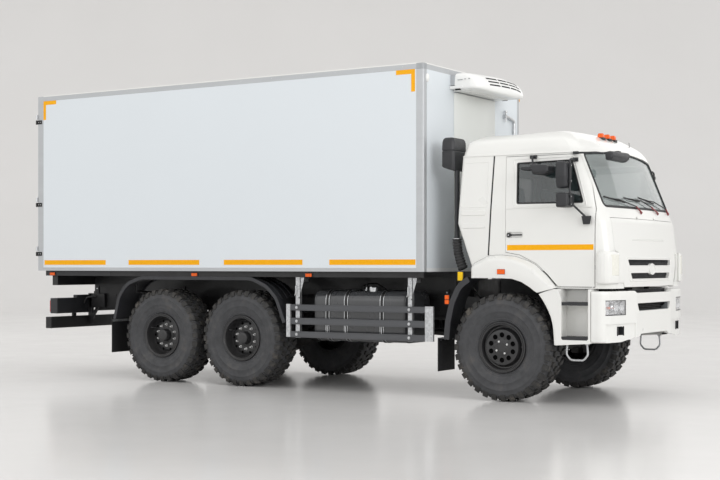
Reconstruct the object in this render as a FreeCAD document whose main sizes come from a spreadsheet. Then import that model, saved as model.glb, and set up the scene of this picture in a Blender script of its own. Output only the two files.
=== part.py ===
import FreeCAD, Part
import os
import math

# Refrigerated three-axle off-road truck.  Millimetres, +X forward, +Y left, +Z up.
# The origin is on the ground under the middle of the overall length.
# Every x below is written from the front axle, which stands at front_axle_x.

os.makedirs("parts", exist_ok=True)
doc = FreeCAD.newDocument("refrigerated_truck")
sheet = doc.addObject("Spreadsheet::Sheet", "dims")
V = FreeCAD.Vector


class Q:
    """A size: its number, and the sheet expression that gives it."""

    def __init__(self, value, text):
        self.v = float(value)
        self.e = text

    def __add__(self, o):
        o = q(o)
        return Q(self.v + o.v, "(%s + %s)" % (self.e, o.e))

    def __radd__(self, o):
        return q(o) + self

    def __sub__(self, o):
        o = q(o)
        return Q(self.v - o.v, "(%s - %s)" % (self.e, o.e))

    def __rsub__(self, o):
        return q(o) - self

    def __mul__(self, o):
        o = q(o)
        return Q(self.v * o.v, "(%s * %s)" % (self.e, o.e))

    __rmul__ = __mul__

    def __truediv__(self, o):
        o = q(o)
        return Q(self.v / o.v, "(%s / %s)" % (self.e, o.e))

    def __neg__(self):
        return Q(-self.v, "(0 - %s)" % self.e)


def q(a):
    return a if isinstance(a, Q) else Q(a, "%.4f" % a if a >= 0 else "(0 - %.4f)" % -a)


# ---------------------------------------------------------------- driving sizes
TABLE = [  # name, millimetres
    ("front_axle_x", 2940), ("middle_axle_x", -3690), ("rear_axle_x", -5010),
    ("half_track", 1025), ("kingpin_y", 985), ("tyre_radius", 615), ("tyre_width", 425),
    ("bead_radius", 275), ("rim_lip_radius", 292), ("rim_width", 330),
    ("rail_top", 1170), ("rail_bottom", 930), ("rail_outer", 430), ("rail_flange", 80), ("rail_web", 10),
    ("rail_front", 1100), ("rail_rear", -6950),
    ("bearer_bottom", 1400), ("box_bottom", 1470), ("box_top", 3920), ("box_half", 1300), ("box_wall", 80),
    ("box_front", -970), ("box_rear", -7190), ("post_front", 95), ("post_rear", 103),
    ("edge_rail_low", 45), ("edge_rail_high", 75), ("rear_sill", 85), ("rear_header", 95),
    ("door_gap", 7), ("door_split", 5), ("door_hinge_x", -7205), ("door_hinge_y", 1312),
    ("tank_front", -1300), ("tank_rear", -2620), ("tank_outer", 1150), ("tank_inner", 520),
    ("tank_bottom", 610), ("tank_top", 1240), ("tank_round", 130),
    ("guard_y", 1250), ("guard_thick", 30), ("guard_front", -869), ("guard_rear", -2960),
    ("underrun_front", -6990), ("underrun_rear", -7090), ("underrun_low", 660), ("underrun_high", 820),
    ("fender_half", 1250), ("fender_inner", 800), ("fender_thick", 14),
    ("bumper_front", 1360), ("bumper_low", 700), ("bumper_high", 1262), ("bumper_half", 1250), ("bumper_thick", 45),
    ("step_outer", 1245), ("step_inner", 1000), ("step_low", 660), ("step_high", 1285),
    ("step_rear", 672), ("step_front", 1085), ("step_skin", 25),
    ("cab_wall", 60), ("cab_half", 1160), ("cab_pivot_x", 1280), ("cab_pivot_z", 1100),
    ("cab_floor_low", 1500), ("cab_floor_high", 1550), ("roof_seam", 2800),
    ("hood_low", 1305), ("hood_high", 2072), ("hood_half", 1000), ("hood_thick", 45),
    ("unit_front", -470), ("unit_half", 650), ("unit_low", 3620), ("unit_high", 3870),
]
for i, (name, size) in enumerate(TABLE):
    sheet.set("A%d" % (i + 1), name)
    sheet.set("B%d" % (i + 1), str(size))
    sheet.setAlias("B%d" % (i + 1), name)
doc.recompute()
D = {name: Q(size, "dims." + name) for name, size in TABLE}
FAX = D["front_axle_x"]


def X(a):
    """An x measured from the front axle, in the model's frame."""
    return FAX + a


count = [0]


def label(kind):
    count[0] += 1
    return "%s_%03d" % (kind, count[0])


def bind(obj, prop, size):
    size = q(size)
    setattr(obj, prop, size.v) if "." not in prop else None
    obj.setExpression(prop, size.e)


def place(obj, x, y, z):
    for ax, a in zip("xyz", (x, y, z)):
        obj.setExpression("Placement.Base." + ax, q(a).e)


def box(x0, x1, y0, y1, z0, z1):
    """A block between two corners; x counts from the front axle."""
    b = doc.addObject("Part::Box", label("block"))
    bind(b, "Length", q(x1) - x0)
    bind(b, "Width", q(y1) - y0)
    bind(b, "Height", q(z1) - z0)
    place(b, X(x0), q(y0), q(z0))
    return b


def rod(axis, x, y, z, radius, length, angle=None):
    """A round bar that starts at a point and runs along an axis, or along a vector."""
    c = doc.addObject("Part::Cylinder", label("rod"))
    bind(c, "Radius", radius)
    bind(c, "Height", length)
    way = {"x": V(1, 0, 0), "y": V(0, 1, 0), "z": V(0, 0, 1)}.get(axis, None) if isinstance(axis, str) else V(*axis)
    c.Placement = FreeCAD.Placement(V(0, 0, 0), FreeCAD.Rotation(V(0, 0, 1), way))
    place(c, X(x), q(y), q(z))
    return c


def bar(p, r, radius):
    """A round bar from point p to point r."""
    d = [b - a for a, b in zip(p, r)]
    return rod(tuple(d), p[0], p[1], p[2], radius, math.sqrt(sum(k * k for k in d)))


def sketch_loop(sk, pts):
    """A closed outline of straight lines; each corner is held from the sketch's origin."""
    import Sketcher
    n = len(pts)
    flat = [(q(a), q(b)) for a, b in pts]
    for i in range(n):
        a, b = flat[i], flat[(i + 1) % n]
        sk.addGeometry(Part.LineSegment(V(a[0].v, a[1].v, 0), V(b[0].v, b[1].v, 0)), False)
    for i in range(n):
        sk.addConstraint(Sketcher.Constraint("Coincident", i, 2, (i + 1) % n, 1))
    for i in range(n):
        for k, kind in ((0, "DistanceX"), (1, "DistanceY")):
            c = sk.addConstraint(Sketcher.Constraint(kind, -1, 1, i, 1, flat[i][k].v))
            sk.setExpression("Constraints[%d]" % c, flat[i][k].e)


def plane_of(body, role):
    return [f for f in body.Origin.OriginFeatures if f.Role == role][0]


def prism(plane, pts, a, b, draw=None):
    """A padded outline.  XZ: (x, z) along y; YZ: (y, z) along x; XY: (x, y) along z."""
    body = doc.addObject("PartDesign::Body", label("prism"))
    sk = body.newObject("Sketcher::SketchObject", label("outline"))
    sk.AttachmentSupport = [(plane_of(body, plane + "_Plane"), "")]
    sk.MapMode = "FlatFace"
    a, b = q(a), q(b)
    if plane == "XZ":
        pts = [(X(p[0]), p[1]) for p in pts]
        start = -b
    elif plane == "YZ":
        a, b = X(a), X(b)
        start = a
    else:
        pts = [(X(p[0]), p[1]) for p in pts]
        start = a
    sk.AttachmentOffset = FreeCAD.Placement(V(0, 0, start.v), FreeCAD.Rotation())
    sk.setExpression("AttachmentOffset.Base.z", start.e)
    if draw:
        draw(sk)
    else:
        sketch_loop(sk, pts)
    pad = body.newObject("PartDesign::Pad", label("pad"))
    pad.Profile = sk
    pad.Length = (b - a).v
    pad.setExpression("Length", (b - a).e)
    return body


def turned(axis_x, axis_z, profile, y_sign=1):
    """A ring turned about a wheel's axle; profile is (radius, y) pairs."""
    body = doc.addObject("PartDesign::Body", label("turned"))
    sk = body.newObject("Sketcher::SketchObject", label("outline"))
    sk.AttachmentSupport = [(plane_of(body, "YZ_Plane"), "")]
    sk.MapMode = "FlatFace"
    sketch_loop(sk, [(q(y) * y_sign, r) for r, y in profile])
    rev = body.newObject("PartDesign::Revolution", label("ring"))
    rev.Profile = sk
    rev.ReferenceAxis = (sk, ["H_Axis"])
    rev.Angle = 360.0
    body.Placement = FreeCAD.Placement(V(0, 0, 0), FreeCAD.Rotation())
    place(body, X(axis_x), q(0), q(axis_z))
    return body


def fuse(parts):
    f = doc.addObject("Part::MultiFuse", label("joined"))
    f.Shapes = parts
    return f


def cut(base, tool):
    c = doc.addObject("Part::Cut", label("cut"))
    c.Base = base
    c.Tool = tool if not isinstance(tool, list) else (fuse(tool) if len(tool) > 1 else tool[0])
    return c


def common(a, b):
    c = doc.addObject("Part::Common", label("shared"))
    c.Base = a
    c.Tool = b
    return c


def group(parts):
    """Like pieces that don't touch, kept together in one node."""
    g = doc.addObject("Part::Compound", label("group"))
    g.Links = parts
    return g


def rounded(obj, radius, pick):
    """Fillets the edges that pick chooses from their two ends."""
    doc.recompute()
    f = doc.addObject("Part::Fillet", label("rounded"))
    f.Base = obj
    rows = []
    for i, e in enumerate(obj.Shape.Edges):
        if len(e.Vertexes) == 2 and pick(e.Vertexes[0].Point, e.Vertexes[1].Point):
            rows.append((i + 1, q(radius).v, q(radius).v))
    f.Edges = rows
    return f


NODES = {}


def node(name, obj):
    obj.Label = name
    NODES[name] = obj


def along(axis, p, r):
    d = r - p
    i = "xyz".index(axis)
    return all(abs(c) < 1e-3 for k, c in enumerate(d) if k != i) and abs(d[i]) > 1


# ---------------------------------------------------------------- frame
def rail_profile(s):
    o, f, w, t, b = D["rail_outer"], D["rail_flange"], D["rail_web"], D["rail_top"], D["rail_bottom"]
    pts = [(o, b), (o, t), (o - f, t), (o - f, t - w), (o - w, t - w), (o - w, b + w), (o - f, b + w), (o - f, b)]
    return [(y * s, z) for y, z in pts]


node("frame_rails", group([prism("YZ", rail_profile(s), D["rail_rear"], D["rail_front"]) for s in (-1, 1)]))

CROSS = [  # x, length along x, bottom, top
    (-6900, 120, 950, 1150), (-5800, 100, 950, 1150), (-4400, 160, 941, 1159), (-2900, 100, 950, 1150),
    (-1500, 100, 950, 1150), (980, 110, 941, 1060),
]
inner = D["rail_outer"] - D["rail_web"]
cross = [box(x, x + d, -inner, inner, z0, z1) for x, d, z0, z1 in CROSS[:-1]]
x, d, z0, z1 = CROSS[-1]
front_beam = [box(x, x + d, -inner, inner, z0, z1)]
for s in (-1, 1):  # ears that carry the cab's tilt pins, ahead of the rail ends
    y0, y1 = sorted((s * 520, s * 560))
    front_beam.append(box(1000, 1310, y0, y1, 1000, 1130))
    y0, y1 = sorted((s * 431, s * 560))
    front_beam.append(box(1000, 1080, y0, y1, 1000, 1060))
    front_beam.append(rod("y", D["cab_pivot_x"], 465 if s > 0 else -525, D["cab_pivot_z"], 14, 60))
front_beam.append(box(1101, 1130, -560, 560, 1000, 1060))
cross.append(fuse(front_beam))
node("frame_crossmembers", group(cross))


# ---------------------------------------------------------------- axles, springs, driveline
def axle(x, half, housing):
    z = D["tyre_radius"]
    parts = [rod("y", x, -half, z, 72, 2 * half)]
    ball = doc.addObject("Part::Sphere", label("housing"))
    bind(ball, "Radius", housing)
    place(ball, X(x), q(120), z)
    parts.append(ball)
    nose = (1, 0, 0) if x < -1000 else (-1, 0, 0)  # the pinion faces the transfer case
    parts.append(rod(nose, x, 120, z, 75, 330))
    for s in (-1, 1):
        parts.append(rod("y", x, s * half - 20 * (s > 0), z, 120 if half < 900 else 105, 20))
    return fuse(parts)


MID, REAR = D["middle_axle_x"].v, D["rear_axle_x"].v
node("axles", group([axle(0, 860, 165), axle(MID, 1010, 175), axle(REAR, 1010, 175)]))

springs = []
for s in (-1, 1):
    y0, y1 = sorted((s * 470, s * 380))
    # front leaf pack: long thin leaves over the axle, eyes under the rail
    springs.append(fuse([prism("XZ", [(-820, 900), (-820, 925), (-300, 800), (300, 800), (820, 925), (820, 900),
                                      (300, 770), (150, 700), (-150, 700), (-300, 770)], y0, y1),
                         box(-860, -820, y0, y1, 890, 929), box(820, 860, y0, y1, 890, 929),
                         ]))
    # tandem leaf pack: turned over, its ends on the two axles, its middle on a trunnion
    springs.append(fuse([prism("XZ", [(MID + 60, 700), (MID + 60, 735), (-4050, 830), (-4200, 900), (-4500, 900),
                                      (-4650, 830), (REAR - 60, 735), (REAR - 60, 700), (-4560, 760), (-4140, 760)],
                               *sorted((s * 560, s * 450))),
                         rod("y", -4350, min(s * 432, s * 600), 720, 75, 168),
                         box(-4420, -4280, *sorted((s * 449, s * 432)), 640, 928)]))
node("leaf_springs", group(springs))

node("driveline", group([
    fuse([box(-1250, -460, -210, 210, 800, 1150), box(-2200, -1750, -200, 260, 640, 1100),
          rod("x", -1760, 0, 900, 45, 520)]),
    bar((-2230, 60, 760), (MID + 370, 120, 660), 42),
    bar((MID - 190, 120, 700), (REAR + 350, 120, 660), 42),
    bar((-1730, 120, 700), (-350, 120, 640), 38)]))

node("engine_block", box(-440, 960, -340, 340, 850, 1430))

# ---------------------------------------------------------------- tank, battery box, air tanks
tank = box(D["tank_rear"], D["tank_front"], -D["tank_outer"], -D["tank_inner"], D["tank_bottom"], D["tank_top"])
tank = rounded(tank, D["tank_round"], lambda p, r: along("x", p, r))
saddles = [box(x, x + 60, -520, -431, 700, 1150) for x in (-2440, -1660)]
node("fuel_tank", fuse([tank] + saddles))
node("battery_box", fuse([box(-1900, -1300, 560, 1140, 700, 1180), box(-1760, -1700, 431, 560, 720, 1150),
                          box(-1500, -1440, 431, 560, 720, 1150)]))
air = []
for x in (-2640, -2330):
    air.append(fuse([rod("y", x, 520, z, 125, 560) for z in (780, 1050)] + [box(x - 30, x + 30, 431, 540, 700, 1150),
               box(x - 20, x + 20, 560, 600, 780, 1050)]))
node("air_tanks", group(air))

# ---------------------------------------------------------------- side guards, underrun bar, lamps
guards = []
for s in (-1, 1):
    y0, y1 = sorted((s * D["guard_y"].v, s * (D["guard_y"].v - 30)))
    parts = [box(x0, x1, y0, y1, 655, 1065) for x0, x1 in ((-2960, -2900), (-979, -869))]
    parts += [box(-2900, -979, y0, y1, z0, z1) for z0, z1 in ((986, 1060), (814, 894), (652, 727))]
    yi = s * (D["guard_y"].v - 30)
    parts += [box(x0, x1, *sorted((yi, yi - s * 12)), 650, D["bearer_bottom"]) for x0, x1 in ((-2840, -2770), (-1229, -1163))]
    parts += [box(x0, x0 + 50, *sorted((yi - s * 12, s * 1000)), 1340, 1399) for x0 in (-2830, -1220)]
    guards.append(fuse(parts))
node("side_guards", group(guards))

under = [box(D["underrun_rear"], D["underrun_front"], -1250, 1250, D["underrun_low"], D["underrun_high"])]
for s in (-1, 1):
    under.append(box(-7015, -6945, *sorted((s * 480, s * 431)), 700, 1140))
    under.append(box(-6992, -6700, *sorted((s * 480, s * 431)), 940, 1140))
node("underrun_bar", fuse(under))

lamps = []
for s in (-1, 1):
    lamps.append(fuse([box(-7180, -7020, *sorted((s * 400, s * 1100)), 860, 1070),
                       box(-7075, -7030, *sorted((s * 700, s * 760)), 820, 861)]))
node("rear_lamps", group(lamps))


# ---------------------------------------------------------------- mudguards
FENDER = [(-5830, 820), (-5750, 1130), (-5610, 1310), (-5350, 1400), (-3505, 1400), (-3256, 1300), (-3098, 1150), (-2975, 840)]


def strip(path, y0, y1, thick, inward):
    """A bent strip that follows a path in x and z, its thickness on one side."""
    other = []
    n = len(path)
    for i in range(n):
        a = path[max(i - 1, 0)]
        b = path[min(i + 1, n - 1)]
        dx, dz = b[0] - a[0], b[1] - a[1]
        m = math.hypot(dx, dz)
        other.append((path[i][0] + inward * dz / m * thick, path[i][1] - inward * dx / m * thick))
    return prism("XZ", path + other[::-1], y0, y1)


guards = []
front_guards = []
for s in (-1, 1):
    y0, y1 = sorted((s * 1250, s * 800))
    top = strip(FENDER, y0, y1, 14, 1)
    e0, e1 = sorted((s * 1250, s * 1238))
    edge = strip(FENDER, e0, e1, 45, 1)
    flap = box(-5862, -5850 + 24, y0, y1, 360, 825)
    guards.append(fuse([top, edge, flap] + [box(x, x + 40, *sorted((s * 1000, s * 431)), 1140, 1168) for x in (-5770, -3150)]))
    FRONT = [(-432, 1418), (-560, 1330), (-660, 1130), (-715, 900), (-735, 690)]
    y0, y1 = sorted((s * 1240, s * 830))
    a0, a1 = sorted((s * 1240, s * 1228))
    front_guards.append(fuse([strip(FRONT, y0, y1, 12, -1), strip(FRONT, a0, a1, 70, -1),
                              box(-815, -722, y0, y1, 692, 702), box(-815, -800, y0, y1, 310, 702),
                              box(-715, -660, *sorted((s * 845, s * 431)), 1000, 1030)]))
node("tandem_mudguards", group(guards))
node("front_mudguards", group(front_guards))


# ---------------------------------------------------------------- bumper and steps
def bumper_outline(grow):
    f, o = D["bumper_front"] - grow, D["bumper_half"] - grow
    return [(1095, -o), (1095 + 105, -o), (1275 - grow * 0.6, 80 - o), (1318 - grow, -945), (f, -560), (f, 560),
            (1318 - grow, 945), (1275 - grow * 0.6, o - 80), (1095 + 105, o), (1095, o)]


bumper = prism("XY", bumper_outline(0), D["bumper_low"], D["bumper_high"])
hollow_pts = bumper_outline(D["bumper_thick"])
hollow_pts[0] = (1090, hollow_pts[0][1])
hollow_pts[-1] = (1090, hollow_pts[-1][1])
hollow = prism("XY", hollow_pts, D["bumper_low"] - 5, D["bumper_high"] - 40)
slot = prism("YZ", [(-550, 1115), (-490, 1025), (490, 1025), (550, 1115)], 1250, 1400)
lampholes = [prism("XY", [(1200, s * 825), (1400, s * 825), (1400, s * 1259), (1300, s * 1259), (1200, s * 1166)], 997, 1164) for s in (-1, 1)]
raised = prism("YZ", [(-1000, 690), (-560, 742), (-470, 747), (-420, 775), (420, 775), (470, 747), (560, 742), (1000, 690)], 1090, 1400)
top_slot = box(1080, 1290, -600, 600, 1200, 1280)
shell = cut(bumper, [hollow, slot, top_slot, raised] + lampholes)
node("headlamps", group([common(prism("XY", bumper_outline(4), 1002, 1159),
                                prism("XY", [(1215, s * 831), (1395, s * 831), (1395, s * 1253), (1296, s * 1248), (1215, s * 1172)], 980, 1180))
                         for s in (-1, 1)]))
arms = [box(1101, 1330, *sorted((s * 400, s * 340)), 940, 990) for s in (-1, 1)]
node("front_bumper", fuse([shell] + arms))

steps = []
for s in (-1, 1):
    o, i2 = D["step_outer"].v, D["step_inner"].v
    side = prism("XZ", [(668, 660), (1085, 690), (1085, 1285), (640, 1285), (560, 1262), (478, 1232), (563, 1108), (628, 973), (656, 838)],
                 *sorted((s * o, s * 1205)))
    side = cut(side, prism("XZ", [(738, 724), (1055, 724), (1055, 1300), (700, 1300), (738, 1178)], *sorted((s * 1300, s * 1180))))
    back = box(690, 1085, *sorted((s * 1030, s * 1005)), 690, 1285)
    floors = [box(690, 1085, *sorted((s * 1215, s * 1020)), z0, z1) for z0, z1 in ((690, 760), (1110, 1135))]
    floors.append(box(739, 1054, *sorted((s * 1238, s * 1200)), 724, 760))
    cheeks = [box(x0, x1, *sorted((s * 1210, s * 1010)), 690, 1285) for x0, x1 in ((690, 715), (1055, 1085))]
    hanger = box(900, 990, *sorted((s * 1010, s * 431)), 1080, 1120)
    r = 11
    loop = [bar((775, s * 1150, 700), (765, s * 1150, 560), r), bar((765, s * 1150, 560), (820, s * 1150, 500), r),
            bar((820, s * 1150, 500), (960, s * 1150, 500), r), bar((960, s * 1150, 500), (1015, s * 1150, 560), r),
            bar((1015, s * 1150, 560), (1005, s * 1150, 700), r)]
    steps.append(fuse([side, back, hanger] + floors + cheeks + loop))
node("entry_steps", group(steps))

# ---------------------------------------------------------------- box on its subframe
sub = [box(-7030, -6930, -1180, 1180, 1265, D["bearer_bottom"])]
sub += [box(-6930, -1000, *sorted((s * 430, s * 350)), D["rail_top"], D["bearer_bottom"]) for s in (-1, 1)]
sub += [box(-7100, -1000, *sorted((s * 1240, s * 1180)), D["bearer_bottom"], D["box_bottom"]) for s in (-1, 1)]
node("box_subframe", group(sub))
node("subframe_bearers", group([box(-7060 + 740 * i, -7060 + 740 * i + 60, -1179, 1179, D["bearer_bottom"], D["box_bottom"])
                                for i in range(9)]))

BF, BR, BH, BW, BB, BT = (D[k] for k in ("box_front", "box_rear", "box_half", "box_wall", "box_bottom", "box_top"))
HINGES = (3600, 2440, 1750)
posts = []
for s in (-1, 1):
    ya, yb = (-BH, BW - BH) if s < 0 else (BH - BW, BH)
    posts.append(box(BF - D["post_front"], BF, ya, yb, BB, BT))
    post = box(BR, BR + D["post_rear"], ya, yb, BB, BT)
    knuckles = [rod("z", D["door_hinge_x"], D["door_hinge_y"] * s, z - 75, 13, 60) for z in HINGES]
    plates = [box(-7205, -7120, *sorted((s * 1306, s * 1299)), z - 75, z - 15) for z in HINGES]
    posts.append(fuse([post] + knuckles + plates))
node("box_posts", group(posts))

edges = []
for s in (-1, 1):
    ya, yb = (-BH, BW - BH) if s < 0 else (BH - BW, BH)
    xr, xf = BR + D["post_rear"], BF - D["post_front"]
    edges.append(box(xr, xf, ya, yb, BB, BB + D["edge_rail_low"]))
    edges.append(box(xr, xf, ya, yb, BT - D["edge_rail_high"], BT))
edges.append(box(BF - BW, BF, BW - BH, BH - BW, BB, BB + D["edge_rail_low"]))
edges.append(box(BF - BW, BF, BW - BH, BH - BW, BT - D["edge_rail_high"], BT))
edges.append(box(BR, BR + 90, BW - BH, BH - BW, BB, BB + D["rear_sill"]))
edges.append(box(BR, BR + 90, BW - BH, BH - BW, BT - D["rear_header"], BT))
node("box_edge_rails", group(edges))

panels = []
for s in (-1, 1):
    ya, yb = (-BH, BW - BH) if s < 0 else (BH - BW, BH)
    panels.append(box(BR + D["post_rear"], BF - D["post_front"], ya, yb, BB + D["edge_rail_low"], BT - D["edge_rail_high"]))
panels.append(box(BF - BW, BF, BW - BH, BH - BW, BB + D["edge_rail_low"], BT - D["edge_rail_high"]))
panels.append(box(BR + 90, BF - BW, BW - BH, BH - BW, BT - 70, BT))
node("box_panels", group(panels))
node("box_floor", box(BR + 90, BF - BW, BW - BH, BH - BW, BB, BB + 100))

for side, s in (("right", -1), ("left", 1)):
    gap, split = D["door_gap"], D["door_split"]
    near = BH - BW - gap
    ya, yb = (-near, -split) if s < 0 else (split, near)
    leaf = box(BR, BR + 80, ya, yb, BB + D["rear_sill"] + gap, BT - D["rear_header"] - gap)
    parts = [leaf]
    for z in HINGES:
        parts.append(rod("z", D["door_hinge_x"], D["door_hinge_y"] * s, z - 8, 13, 70))
        parts.append(box(-7205, -7190, *sorted((s * 1308, s * 960)), z - 8, z + 62))
    for y in (1080, 130):  # lock rods in their guides
        parts.append(rod("z", -7206, s * y, 1580, 13, 2200))
        parts += [box(-7200, -7189, *sorted((s * (y - 40), s * (y + 40))), z, z + 50) for z in (1640, 2300, 3050, 3680)]
        parts.append(box(-7240, -7189, *sorted((s * (y - 22), s * (y + 200 * (1 if y < 500 else -1)))), 2060, 2100))
    node("rear_door_" + side, fuse(parts))

# ---------------------------------------------------------------- refrigeration unit on the front wall
hood = prism("XY", [(-969, -650), (-640, -650), (-560, -590), (-510, -450), (-470, 0), (-510, 450), (-560, 590), (-640, 650), (-969, 650)],
             D["unit_low"], D["unit_high"])
slope = prism("XZ", [(-600, 3880), (-600, 3871), (-490, 3740), (-460, 3690), (-400, 3690), (-400, 3880)], -700, 700)
unit = cut(hood, slope)
lower = box(-969, -935, -500, 500, 1900, D["unit_low"] + 5)
node("refrigeration_unit", fuse([unit, lower]))

# ---------------------------------------------------------------- cab
# Level sections of the cab's skin: height, rear x, side front x, shoulder x, shoulder y, centre x, half width
CAB = [
    (1290, -420, 1120, 1288, 1040, 1330, 1160),
    (1530, -420, 1120, 1288, 1040, 1330, 1160),
    (2030, -600, 1060, 1228, 1030, 1270, 1160),
    (2190, -590, 1000, 1166, 1000, 1222, 1160),
    (2800, -546, 800, 912, 1000, 1000, 1138),
]
ROOF = [
    (2800, -546, 800, 912, 1000, 1000, 1138),
    (2885, -526, 772, 876, 965, 968, 1118),
    (2985, -488, 660, 770, 890, 850, 1050),
    (3055, -340, 510, 610, 720, 660, 850),
]


def section(sk, row, inset, lift):
    z, xr, xs, xa, ya, xc, hw = row
    xr, xs, xa, ya, xc, hw = xr + inset, xs - inset * 0.3, xa - inset * 0.8, ya - inset * 0.6, xc - inset, hw - inset
    f = FAX.v
    P = lambda x, y: V(x + f, y, 0)
    bulge = lambda s: P(xs + (xa - xs) * 0.62, s * (hw - (hw - ya) * 0.30))
    sk.addGeometry([
        Part.LineSegment(P(xr, -hw), P(xs, -hw)),
        Part.Arc(P(xs, -hw), bulge(-1), P(xa, -ya)),
        Part.Arc(P(xa, -ya), P(xc, 0), P(xa, ya)),
        Part.Arc(P(xa, ya), bulge(1), P(xs, hw)),
        Part.LineSegment(P(xs, hw), P(xr, hw)),
        Part.LineSegment(P(xr, hw), P(xr, -hw))], False)


def lofted(rows, inset, low, high):
    """The cab's form between two heights, stepped in from its skin by inset."""
    body = doc.addObject("PartDesign::Body", label("form"))
    sks = []
    for k, row in enumerate(rows):
        z = row[0] + (low if k == 0 else 0) + (high if k == len(rows) - 1 else 0)
        sk = body.newObject("Sketcher::SketchObject", label("section"))
        sk.AttachmentSupport = [(plane_of(body, "XY_Plane"), "")]
        sk.MapMode = "FlatFace"
        sk.AttachmentOffset = FreeCAD.Placement(V(0, 0, z), FreeCAD.Rotation())
        section(sk, row, inset, 0)
        sks.append(sk)
    loft = body.newObject("PartDesign::AdditiveLoft", label("loft"))
    loft.Profile = sks[0]
    loft.Sections = sks[1:]
    loft.Ruled = True
    return body


W = D["cab_wall"].v
skin = cut(lofted(CAB, 0, 0, 0), lofted([CAB[0]] + CAB[1:], W, -10, 10))
# floor panel, raised over the wheels and the engine, with the front foot wells lower
floor = common(lofted(CAB, 5, 0, 0), fuse([box(-700, 1118, -1200, 1200, D["cab_floor_low"], D["cab_floor_high"]),
                                          box(1086, 1100, -1200, 1200, D["cab_floor_low"], 2120)]))
# arms run back and down from the floor to the tilt pins, inside the frame's ears
arms = []
for s in (-1, 1):
    y0, y1 = sorted((s * 470, s * 510))
    arms += [prism("XZ", [(1055, 1072), (1280, 1072), (1280, 1128), (1115, 1128), (1115, 1505), (1055, 1505)], y0, y1),
             rod("y", D["cab_pivot_x"], y0, D["cab_pivot_z"], 28, 40)]
bores = [rod("y", D["cab_pivot_x"], 460 if s > 0 else -520, D["cab_pivot_z"], 14.05, 60) for s in (-1, 1)]
# pins under the doors' front corners, and lugs for the front panel above its seam
door_pins = [rod("z", 1070, 1148 * s, 1291, 8, 54) for s in (-1, 1)]
lugs = []
for s in (-1, 1):
    lugs += [rod("y", 1260, 281 if s > 0 else -301, 2085, 8, 20), box(1205, 1260, *sorted((s * 281, s * 301)), 2085, 2093)]
shell = fuse([skin, floor] + arms)
arch = box(-700, 645, -1300, 1300, 1200, D["cab_floor_low"])
DOOR = [(25, 2775), (25, 1700), (200, 1668), (400, 1572), (540, 1450), (668, 1312), (1098, 1312), (1098, 2168), (950, 2775)]
GAP = [(17, 2784), (17, 1690), (196, 1659), (394, 1564), (533, 1443), (664, 1303), (1107, 1303), (1107, 2169), (957, 2784)]
WINDOW = [(160, 2690), (160, 2242), (968, 2238), (830, 2715), (190, 2715)]
gaps = [prism("XZ", GAP, *sorted((s * 1300, s * 1070))) for s in (-1, 1)]
SCREEN = [(-985, 2202), (985, 2202), (1025, 2240), (1022, 2765), (985, 2796), (750, 2822), (500, 2838), (250, 2847), (0, 2850),
          (-250, 2847), (-500, 2838), (-750, 2822), (-985, 2796), (-1022, 2765), (-1025, 2240)]
screen = prism("YZ", SCREEN, 780, 1400)
rear_windows = [box(-700, -400, *sorted((s * 300, s * 800)), 2330, 2650) for s in (-1, 1)]
HOOD = [(-1000, 2072), (-1000, 1722), (-940, 1690), (-800, 1305), (800, 1305), (940, 1690), (1000, 1722), (1000, 2072)]
HOLE = [(-1006, 2078), (-1006, 1717), (-947, 1685), (-800, 1280), (800, 1280), (947, 1685), (1006, 1717), (1006, 2078)]
hood_hole = prism("YZ", HOLE, 1120, 1400)
hinge_notches = [box(1150, 1300, *sorted((s * 254, s * 280.5)), 2070, 2098) for s in (-1, 1)]
node("cab_shell", fuse([cut(shell, [arch, hood_hole, screen] + gaps + rear_windows + bores + hinge_notches)] + door_pins + lugs))
node("cab_roof", cut(lofted(ROOF, 0, 0, 0), [lofted(ROOF, 50, -10, -50), prism("YZ", SCREEN, 780, 1400)]))

hood_band = cut(lofted(CAB, 0, 0, 0), lofted(CAB, D["hood_thick"].v, -10, 10))
hood_panel = common(hood_band, prism("YZ", HOOD, 1100, 1400))
barrels = []
for s in (-1, 1):
    barrels += [rod("y", 1260, 260 if s > 0 else -280, 2085, 8, 20), box(1225, 1260, *sorted((s * 260, s * 280)), 2058, 2085)]
node("front_hood_panel", fuse([hood_panel] + barrels))

housings = []
for s in (-1, 1):  # rounded corner housings that carry the turn signals, set on the skin beside the front panel
    plan = [(1114, 1150), (1130, 1192), (1160, 1208), (1200, 1215), (1240, 1208), (1273, 1187), (1296, 1155), (1311, 1110), (1321, 1040),
            (1325, 960), (1324, 820), (1200, 790), (1150, 1050)]
    housings.append(cut(prism("XY", [(x, y * s) for x, y in plan], 1345, 1700), [lofted(CAB, 0, 0, 0), hood_hole]))
node("corner_housings", group(housings))

glass_band = cut(lofted(CAB, 22, 0, 0), lofted(CAB, 30, -10, 10))
front_band = cut(lofted([CAB[3], CAB[4], ROOF[1]], 22, 0, 0), lofted([CAB[3], CAB[4], ROOF[1]], 30, -10, 10))
node("cab_glass", group([common(front_band, prism("YZ", SCREEN, 780, 1400))] + [common(glass_band, w) for w in rear_windows]))

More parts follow.
